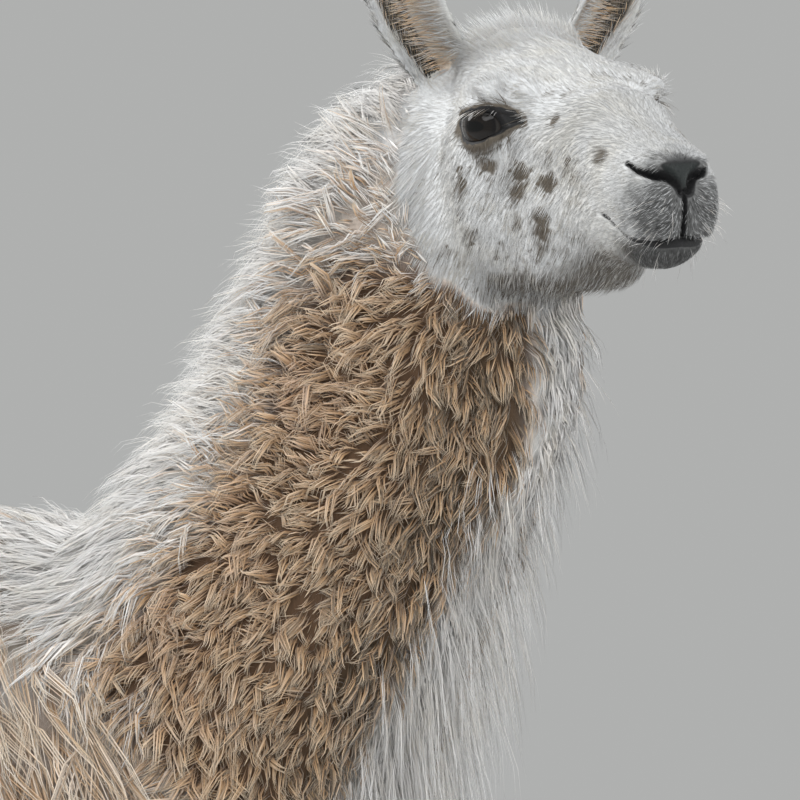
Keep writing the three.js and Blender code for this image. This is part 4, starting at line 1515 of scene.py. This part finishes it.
class Graph:
    """A short way to place nodes and link them."""

    def __init__(self, tree):
        self.tree, self.nodes, self.links = tree, tree.nodes, tree.links

    def add(self, kind, **settings):
        node = self.nodes.new(kind)
        for key, value in settings.items():
            setattr(node, key, value)
        return node

    def feed(self, socket, value):
        if isinstance(value, bpy.types.NodeSocket):
            self.links.new(value, socket)
        elif isinstance(value, tuple):
            socket.default_value = value if len(value) == 4 or socket.type == "VECTOR" else (*value, 1.0)
        else:
            socket.default_value = value

    def math(self, operation, a, b=0.0, c=0.0, clamp=False):
        node = self.add("ShaderNodeMath", operation=operation, use_clamp=clamp)
        for socket, value in zip(node.inputs, (a, b, c)):
            self.feed(socket, value)
        return node.outputs[0]

    def ramp(self, value, low, high, bottom=0.0, top=1.0):
        node = self.add("ShaderNodeMapRange", interpolation_type="SMOOTHSTEP")
        names = ("Value", "From Min", "From Max", "To Min", "To Max")
        for name, given in zip(names, (value, low, high, bottom, top)):
            self.feed(node.inputs[name], given)
        return node.outputs["Result"]

    def mix(self, share, a, b, blend="MIX"):
        node = self.add("ShaderNodeMix", data_type="RGBA", blend_type=blend)
        for socket, value in ((node.inputs[0], share), (node.inputs[6], a), (node.inputs[7], b)):
            self.feed(socket, value)
        return node.outputs[2]

    def noise(self, scale, detail=2.0, vector=None, out="Fac"):
        node = self.add("ShaderNodeTexNoise")
        self.feed(node.inputs["Scale"], scale)
        self.feed(node.inputs["Detail"], detail)
        if vector is not None:
            self.links.new(vector, node.inputs["Vector"])
        return node.outputs[out]

    def grey(self, value):
        """A grey as light as the value."""
        node = self.add("ShaderNodeCombineXYZ")
        for socket in node.inputs:
            self.feed(socket, value)
        return node.outputs[0]

    def bump(self, height, strength, distance):
        node = self.add("ShaderNodeBump")
        for name, given in (("Height", height), ("Strength", strength), ("Distance", distance)):
            self.feed(node.inputs[name], given)
        return node.outputs["Normal"]

    def group(self, tree, **values):
        """Places a node group and returns its outputs; Root_shade stands for the input called Root shade."""
        node = self.add("ShaderNodeGroup", node_tree=tree)
        for label, value in values.items():
            self.feed(node.inputs[label.replace("_", " ")], value)
        return node.outputs

    def attribute(self, name):
        return self.add("ShaderNodeAttribute", attribute_name=name).outputs["Vector"]

    def parts(self, vector):
        node = self.add("ShaderNodeSeparateXYZ")
        self.links.new(vector, node.inputs[0])
        return node.outputs


def shader_group(name, inputs, outputs):
    """A shader node group with these inputs, as (name, kind, default), and outputs, as (name, kind)."""
    group = bpy.data.node_groups.new(name, "ShaderNodeTree")
    for label, kind, default in inputs:
        socket = group.interface.new_socket(label, in_out="INPUT", socket_type=kind)
        socket.default_value = (*default, 1.0) if kind == "NodeSocketColor" else default
    for label, kind in outputs:
        group.interface.new_socket(label, in_out="OUTPUT", socket_type=kind)
    graph = Graph(group)
    return group, graph, graph.add("NodeGroupInput").outputs, graph.add("NodeGroupOutput").inputs


def markings_group():
    """Colour of skin and coat from the markings that every mesh carries, with painted shade towards the roots
    of the strands and under the jaw.
    """
    colour, number = "NodeSocketColor", "NodeSocketFloat"
    group, graph, given, result = shader_group(
        "Markings",
        [
            ("White", colour, WHITE),
            ("Root shade", number, 0.45),
            ("Warm roots", number, 0.2),
            ("Variation", number, 0.5),
        ],
        [("Color", colour), ("Bare", number), ("Fawn", number)],
    )
    fawn, spot, grey = graph.parts(graph.attribute("marks"))
    bare, along, chance = graph.parts(graph.attribute("lock"))
    patch = graph.noise(14.0, 3.0)
    # Root shade darkens the strands towards their roots, and the skin under the coat: painted shade between
    # the locks.
    depth = graph.ramp(along, 0.58, 0.0, 0.0, given["Root shade"])
    white = graph.mix(graph.ramp(patch, 0.4, 0.8), given["White"], YELLOWED, "MULTIPLY")
    # Warm roots tints the white towards fawn near the roots: painted warm shade between white strands.
    painted_warm_shade = graph.math("MULTIPLY", graph.ramp(along, 0.8, 0.0), given["Warm roots"])
    white = graph.mix(painted_warm_shade, white, FAWN)
    brown = graph.mix(graph.ramp(along, 0.15, 1.0), FAWN, FAWN_TIP)
    sun = graph.math("MULTIPLY_ADD", chance, given["Variation"], graph.math("SUBTRACT", patch, 0.62))
    brown = graph.mix(graph.math("MULTIPLY", sun, 0.45, clamp=True), brown, CREAM)
    brown = graph.mix(graph.math("MULTIPLY", graph.ramp(fawn, 0.6, 1.0), 0.85), brown, RUFOUS)
    brown = graph.mix(depth, brown, ROOT_SHADE_UMBER)
    base = graph.mix(graph.ramp(fawn, 0.05, 0.6), white, brown)
    # The spot mark darkens the colour: real dark patches of hair, and painted shade under the jaw and between
    # the neck's locks.
    mottle = graph.math("MULTIPLY_ADD", graph.math("SUBTRACT", chance, 0.5), 0.8, spot)
    base = graph.mix(graph.ramp(mottle, 0.2, 0.8, 0.0, 0.92), base, SPOT_AND_SHADE)
    silver = graph.math("MULTIPLY", graph.ramp(chance, 0.45, 0.65), graph.ramp(along, 0.1, 0.5, 0.25, 0.85))
    silver = graph.math("MULTIPLY", silver, graph.ramp(spot, 0.0, 1.0, 1.0, 0.35))
    base = graph.mix(grey, base, graph.mix(silver, SMOKE, given["White"]))
    light = graph.grey(graph.ramp(chance, 0.0, 1.0, 0.86, 1.06))
    base = graph.mix(given["Variation"], base, light, "MULTIPLY")
    leather = graph.mix(fawn, DARK_SKIN, SLATE)
    graph.links.new(graph.mix(graph.ramp(bare, 0.2, 0.8), base, leather), result["Color"])
    graph.links.new(bare, result["Bare"])
    graph.links.new(graph.ramp(fawn, 0.0, 0.4, 0.35), result["Fawn"])
    return group


def plain_material(name):
    material = bpy.data.materials.new(name)
    material.use_nodes = True
    graph = Graph(material.node_tree)
    return material, graph, graph.nodes["Principled BSDF"]


def fibres_group():
    """Fine hairs drawn along a strand: a shade for its colour and a height for its bump."""
    number = "NodeSocketFloat"
    group, graph, given, result = shader_group(
        "Fibres", [("Shade", number, 0.3)], [("Shade", number), ("Height", number)]
    )
    hairs = graph.ramp(graph.noise(1.6, 3.0, graph.attribute("fibre")), 0.30, 0.62)
    gaps = graph.math("SUBTRACT", 1.0, hairs)
    shade = graph.math("SUBTRACT", 1.08, graph.math("MULTIPLY", given["Shade"], gaps))
    graph.links.new(shade, result["Shade"])
    graph.links.new(hairs, result["Height"])
    return group


# Hair: its white, how dark and how warm its roots are (painted shade between the strands), how far strands
# vary, its streaks and its sheen.
HAIR_FINISHES = {
    "short_hair": (WHITE, 0.12, 0.1, 0.6, 0.0, 0.15),
    "wool": (WOOL_WHITE, 0.85, 0.12, 0.7, 0.3, 0.6),
    "down": (WOOL_WHITE, 1.0, 0.2, 0.6, 0.5, 0.6),
    "fleece": (CREAM, 0.6, 0.4, 0.6, 0.3, 0.6),
    "long_hair": (WOOL_WHITE, 0.1, 0.1, 0.3, 0.0, 0.6),
}
HAIR_RELIEF = 0.8 * MM


def hair_material(name, markings, fibres):
    """Hair or wool in the colours of the markings, with its own finish and fine fibres."""
    white, root_shade, warm_roots, variation, streaks, sheen = HAIR_FINISHES[name]
    material, graph, surface = plain_material(name)
    shades = {"White": white, "Root_shade": root_shade, "Warm_roots": warm_roots, "Variation": variation}
    colours = graph.group(markings, **shades)
    hairs = graph.group(fibres, Shade=graph.math("MULTIPLY", colours["Fawn"], streaks))
    colour = graph.mix(1.0, colours["Color"], graph.grey(hairs["Shade"]), "MULTIPLY")
    graph.links.new(colour, surface.inputs["Base Color"])
    graph.links.new(graph.bump(hairs["Height"], 0.5, HAIR_RELIEF), surface.inputs["Normal"])
    surface.inputs["Roughness"].default_value = 0.8
    surface.inputs["Specular IOR Level"].default_value = 0.25
    surface.inputs["Sheen Weight"].default_value = sheen
    return material


def skin_material(markings):
    """Short flat hair as a grain that runs with the lie of the coat; the bare skin shines a little."""
    material, graph, surface = plain_material("hide")
    # Root shade darkens the skin under the coat as painted shade between the locks.
    colours = graph.group(markings, White=WHITE, Root_shade=0.95, Warm_roots=0.12, Variation=0.2)
    streaks = graph.noise(1.0, 3.0, graph.attribute("grain"))
    shade = graph.grey(graph.ramp(streaks, 0.3, 0.7, 0.88, 1.05))
    colour = graph.mix(1.0, colours["Color"], shade, "MULTIPLY")
    graph.links.new(colour, surface.inputs["Base Color"])
    pores = graph.noise(900.0, 2.0)
    height = graph.math("MULTIPLY_ADD", pores, 0.3, streaks)
    graph.links.new(graph.bump(height, 0.6, HAIR_RELIEF), surface.inputs["Normal"])
    graph.links.new(graph.ramp(colours["Bare"], 0.4, 0.8, 0.85, 0.55), surface.inputs["Roughness"])
    return material


# ------------------------------------------------------------------ eyes and nails
CORNEA = 1.1 * MM  # how far the clear front of the eye stands proud
IRIS = (0.006, 0.004, 0.003)
IRIS_FLECK = (0.011, 0.008, 0.006)
IRIS_RIM = (0.004, 0.003, 0.003)
PUPIL = (0.001, 0.001, 0.001)
PUPIL_WIDTH, PUPIL_HEIGHT = 0.36, 0.19  # half its width and height, as shares of the eye's radius
SCLERA = (0.035, 0.031, 0.028)
HORN = (0.045, 0.036, 0.030)
HORN_STREAK = (0.115, 0.095, 0.078)
HORN_WORN = (0.16, 0.14, 0.12)


def eye(side):
    """A wet, dark eye, its clear front standing a little proud over the pupil."""
    middle, forward, up, gaze = eye_frame(side)
    shape = bmesh.new()
    bmesh.ops.create_uvsphere(shape, u_segments=64, v_segments=40, radius=EYE_RADIUS)
    for vert in shape.verts:
        bulge = CORNEA * float(smooth(0.80, 0.97, vert.co.z / EYE_RADIUS))
        vert.co = vert.co * (1 + bulge / EYE_RADIUS)
    mesh = bpy.data.meshes.new(f"eyeball_{side}")
    shape.to_mesh(mesh)
    shape.free()
    points = points_of(mesh)
    put_attribute(mesh, "gaze", points / EYE_RADIUS)
    move_points(mesh, from_head(middle + points @ np.stack((forward, up, gaze))))
    return finished(new_object(f"eyeball_{side}", mesh), [f"eye_{side}"])


def eye_material():
    """A wide lying pupil in a dark brown iris, under a clear wet surface."""
    material, graph, surface = plain_material("wet_eye")
    squared = lambda value: graph.math("POWER", value, 2.0)
    forward, up, gaze = graph.parts(graph.attribute("gaze"))
    off = graph.math("SQRT", graph.math("ADD", squared(forward), squared(up)))
    wide = squared(graph.math("DIVIDE", forward, PUPIL_WIDTH))
    high = squared(graph.math("DIVIDE", up, PUPIL_HEIGHT))
    pupil = graph.math("ADD", wide, high)
    iris = graph.mix(graph.ramp(graph.noise(60.0, 2.0), 0.35, 0.7), IRIS, IRIS_FLECK)
    iris = graph.mix(graph.ramp(off, 0.5, 0.64), iris, IRIS_RIM)
    colour = graph.mix(graph.ramp(pupil, 0.85, 1.15, 1.0, 0.0), iris, PUPIL)
    colour = graph.mix(graph.ramp(off, 0.66, 0.72), colour, SCLERA)
    colour = graph.mix(graph.ramp(gaze, 0.1, -0.1), colour, DARK_SKIN)
    graph.links.new(colour, surface.inputs["Base Color"])
    surface.inputs["Roughness"].default_value = 0.05
    surface.inputs["Specular IOR Level"].default_value = 0.4
    return material


def nail_material():
    """Dark horn with fine upright streaks and a paler worn edge at the floor."""
    material, graph, surface = plain_material("horn")
    place = graph.add("ShaderNodeTexCoord").outputs["Object"]
    stretch = graph.add("ShaderNodeMapping")
    stretch.inputs["Scale"].default_value = (500.0, 500.0, 40.0)
    graph.links.new(place, stretch.inputs["Vector"])
    streaks = graph.noise(1.0, 4.0, stretch.outputs["Vector"])
    colour = graph.mix(graph.ramp(streaks, 0.3, 0.7), HORN, HORN_STREAK)
    colour = graph.mix(graph.ramp(graph.parts(place)[2], 0.012, 0.0), colour, HORN_WORN)
    graph.links.new(colour, surface.inputs["Base Color"])
    graph.links.new(graph.bump(streaks, 0.4, 0.6 * MM), surface.inputs["Normal"])
    graph.links.new(graph.ramp(streaks, 0.2, 0.8, 0.42, 0.6), surface.inputs["Roughness"])
    return material


# ------------------------------------------------------------------ stage
CAMERA_FROM_HEAD = np.array((1.162, -2.433, -0.053))
CAMERA_AZIMUTH, CAMERA_ELEVATION = 28.0, 3.0
CAMERA_LENS = 175.3

LAMP_AIM = (0.3, 0.0, 1.1)
# Lamp: place, width across and power.
LAMPS = {
    "key": ((2.2, -3.6, 4.6), 3.4, 66.0),
    "fill": ((4.2, 1.4, 2.6), 2.6, 34.0),
    "side": ((-3.6, -1.4, 3.6), 2.6, 110.0),
    "back": ((-2.4, 3.4, 4.4), 3.0, 90.0),
}

BACKDROP = (0.43, 0.435, 0.43, 1)
FLOOR_COLOUR = (0.45, 0.45, 0.445, 1)
FLOOR_SIZE = 24.0
FLOOR_FADE = (1.6, 4.0)  # distances between which the floor fades into the backdrop
SKY_COLOUR = (0.97, 0.985, 1.0, 1)
SKY_STRENGTH = 1.08


def on_stage(name, data):
    thing = bpy.data.objects.new(name, data)
    bpy.context.scene.collection.objects.link(thing)
    return thing


def camera():
    data = bpy.data.cameras.new("camera")
    data.lens = CAMERA_LENS
    data.sensor_width = 36.0
    data.clip_end = 50.0
    view = on_stage("camera", data)
    view.location = HEAD_AT + CAMERA_FROM_HEAD
    view.rotation_euler = Euler((math.radians(90 - CAMERA_ELEVATION), 0.0, math.radians(CAMERA_AZIMUTH)))
    bpy.context.scene.camera = view


def lamp(name, place, size, power):
    data = bpy.data.lights.new(name, "AREA")
    data.shape = "DISK"
    data.size = size
    data.energy = power
    light = on_stage(name, data)
    light.location = place
    light.rotation_euler = (Vector(LAMP_AIM) - Vector(place)).to_track_quat("-Z", "Y").to_euler()


def seen_only(graph):
    """1 where the camera looks, straight, by a reflection or through glass; 0 for light on the animal."""
    rays = graph.add("ShaderNodeLightPath").outputs
    seen = graph.math("ADD", rays["Is Camera Ray"], rays["Is Glossy Ray"])
    return graph.math("ADD", seen, rays["Is Transmission Ray"], clamp=True)


def mixed_shader(graph, share, first, second):
    mix = graph.add("ShaderNodeMixShader")
    for socket, value in zip(mix.inputs, (share, first, second)):
        graph.links.new(value, socket)
    return mix.outputs[0]


def floor_material():
    """A pale floor that keeps the shadow and fades into the backdrop's colour further out."""
    material, graph, surface = plain_material("floor")
    surface.inputs["Base Color"].default_value = FLOOR_COLOUR
    surface.inputs["Roughness"].default_value = 0.9
    glow = graph.add("ShaderNodeEmission")
    glow.inputs["Color"].default_value = BACKDROP
    place = graph.add("ShaderNodeNewGeometry").outputs["Position"]
    length = graph.add("ShaderNodeVectorMath", operation="LENGTH")
    graph.links.new(place, length.inputs[0])
    far = graph.ramp(length.outputs["Value"], *FLOOR_FADE)
    share = graph.math("MULTIPLY", far, seen_only(graph))
    faded = mixed_shader(graph, share, surface.outputs[0], glow.outputs[0])
    graph.links.new(faded, graph.nodes["Material Output"].inputs["Surface"])
    return material


def sky():
    """Even light from all round, and a plain backdrop where the camera looks."""
    world = bpy.data.worlds.new("sky")
    bpy.context.scene.world = world
    world.use_nodes = True
    graph = Graph(world.node_tree)
    graph.nodes.clear()
    output = graph.add("ShaderNodeOutputWorld")
    light = graph.add("ShaderNodeBackground")
    light.inputs["Color"].default_value = SKY_COLOUR
    light.inputs["Strength"].default_value = SKY_STRENGTH
    backdrop = graph.add("ShaderNodeBackground")
    backdrop.inputs["Color"].default_value = BACKDROP
    mixed = mixed_shader(graph, seen_only(graph), light.outputs[0], backdrop.outputs[0])
    graph.links.new(mixed, output.inputs[0])


def stage():
    """The floor and the lights. Colours render about as they are written."""
    bpy.ops.mesh.primitive_grid_add(x_subdivisions=8, y_subdivisions=8, size=FLOOR_SIZE)
    floor = bpy.context.object
    floor.name = "floor"
    floor.data.materials.append(floor_material())
    bpy.context.scene.view_settings.view_transform = "Standard"
    for name, settings in LAMPS.items():
        lamp(name, *settings)
    sky()


# ------------------------------------------------------------------ making the animal
def dress(mesh, hide, zones):
    """Gives the skin the same markings as the coat, and a grain along the lie of the hair; under the coat the
    skin is darkened as painted shade between the locks.
    """
    local = to_head(hide.points)
    head = belongs(hide.labels, HEAD_FLESH)
    along = np.where(head, local[:, 0], hide.points[:, 2])
    across_first = np.where(head, local[:, 1], hide.points[:, 0])
    across_second = np.where(head, local[:, 2], hide.points[:, 1])
    grain = np.stack((along * 110, across_first * 700, across_second * 700), axis=1)
    put_attribute(mesh, "grain", grain)
    fleeced = np.maximum(zones.trunk, np.maximum(zones.thighs, zones.tail))
    marks = hide.marks[:, :3].copy()
    marks[:, 0] = np.where(fleeced > 0.0, np.clip(marks[:, 0], 0.24, 0.36), marks[:, 0])
    put_attribute(mesh, "marks", marks)
    # Under the neck wool and the fleece the skin takes the strands' root colour: painted shade that shows in
    # the gaps between locks.
    woolly = 0.05 + 0.5 * smooth(0.45, 0.15, marks[:, 0])
    depth = np.where(zones.wool > 0.5, woolly, np.where(fleeced > 0.0, 0.20, 0.75))
    lock = np.stack((hide.marks[:, 3], depth, np.full(len(local), 0.5)), axis=1)
    put_attribute(mesh, "lock", lock)


def make_skin():
    """The whole skin in one piece: the head's fine shell joined to the body's."""
    skin = head_shell()
    features = shape_face(skin.data)
    body = body_shell()
    applied(skin, "BOOLEAN", operation="UNION", object=body, solver="MANIFOLD")
    bpy.data.objects.remove(body)
    skin.name = "skin"
    return finished(skin, FLESH), features


def make_coat(hide, zones, markings):
    """Every part of the coat, each in its own finish."""
    fibres = fibres_group()
    hair = {name: hair_material(name, markings, fibres) for name in HAIR_FINISHES}
    face_hair(hide, zones, hair["short_hair"])
    ear_hair(hide, zones, hair["short_hair"])
    neck_wool(hide, zones, hair["wool"])
    neck_underwool(hide, zones, hair["down"])
    throat_fringe(hide, zones, hair["long_hair"])
    for region in (trunk_fleece, thigh_hair, shank_hair, tail_wool):
        region(hide, zones, hair["fleece"])
    for side in SIDES:
        lashes(side, hair["long_hair"])
    whiskers(hide, hair["long_hair"])


markings = markings_group()
skin, features = make_skin()
hide = Hide(skin.data, Markings(features))
zones = Zones(hide)
dress(skin.data, hide, zones)
skin.data.materials.clear()
skin.data.materials.append(skin_material(markings))
skin.data.polygons.foreach_set("material_index", np.zeros(len(skin.data.polygons), np.int32))
make_coat(hide, zones, markings)

wet = eye_material()
for side in SIDES:
    eye(side).data.materials.append(wet)
horn = nail_material()
for node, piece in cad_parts.items():
    if node.startswith("nail_"):
        piece.data.materials.clear()
        piece.data.materials.append(horn)

camera()
stage()
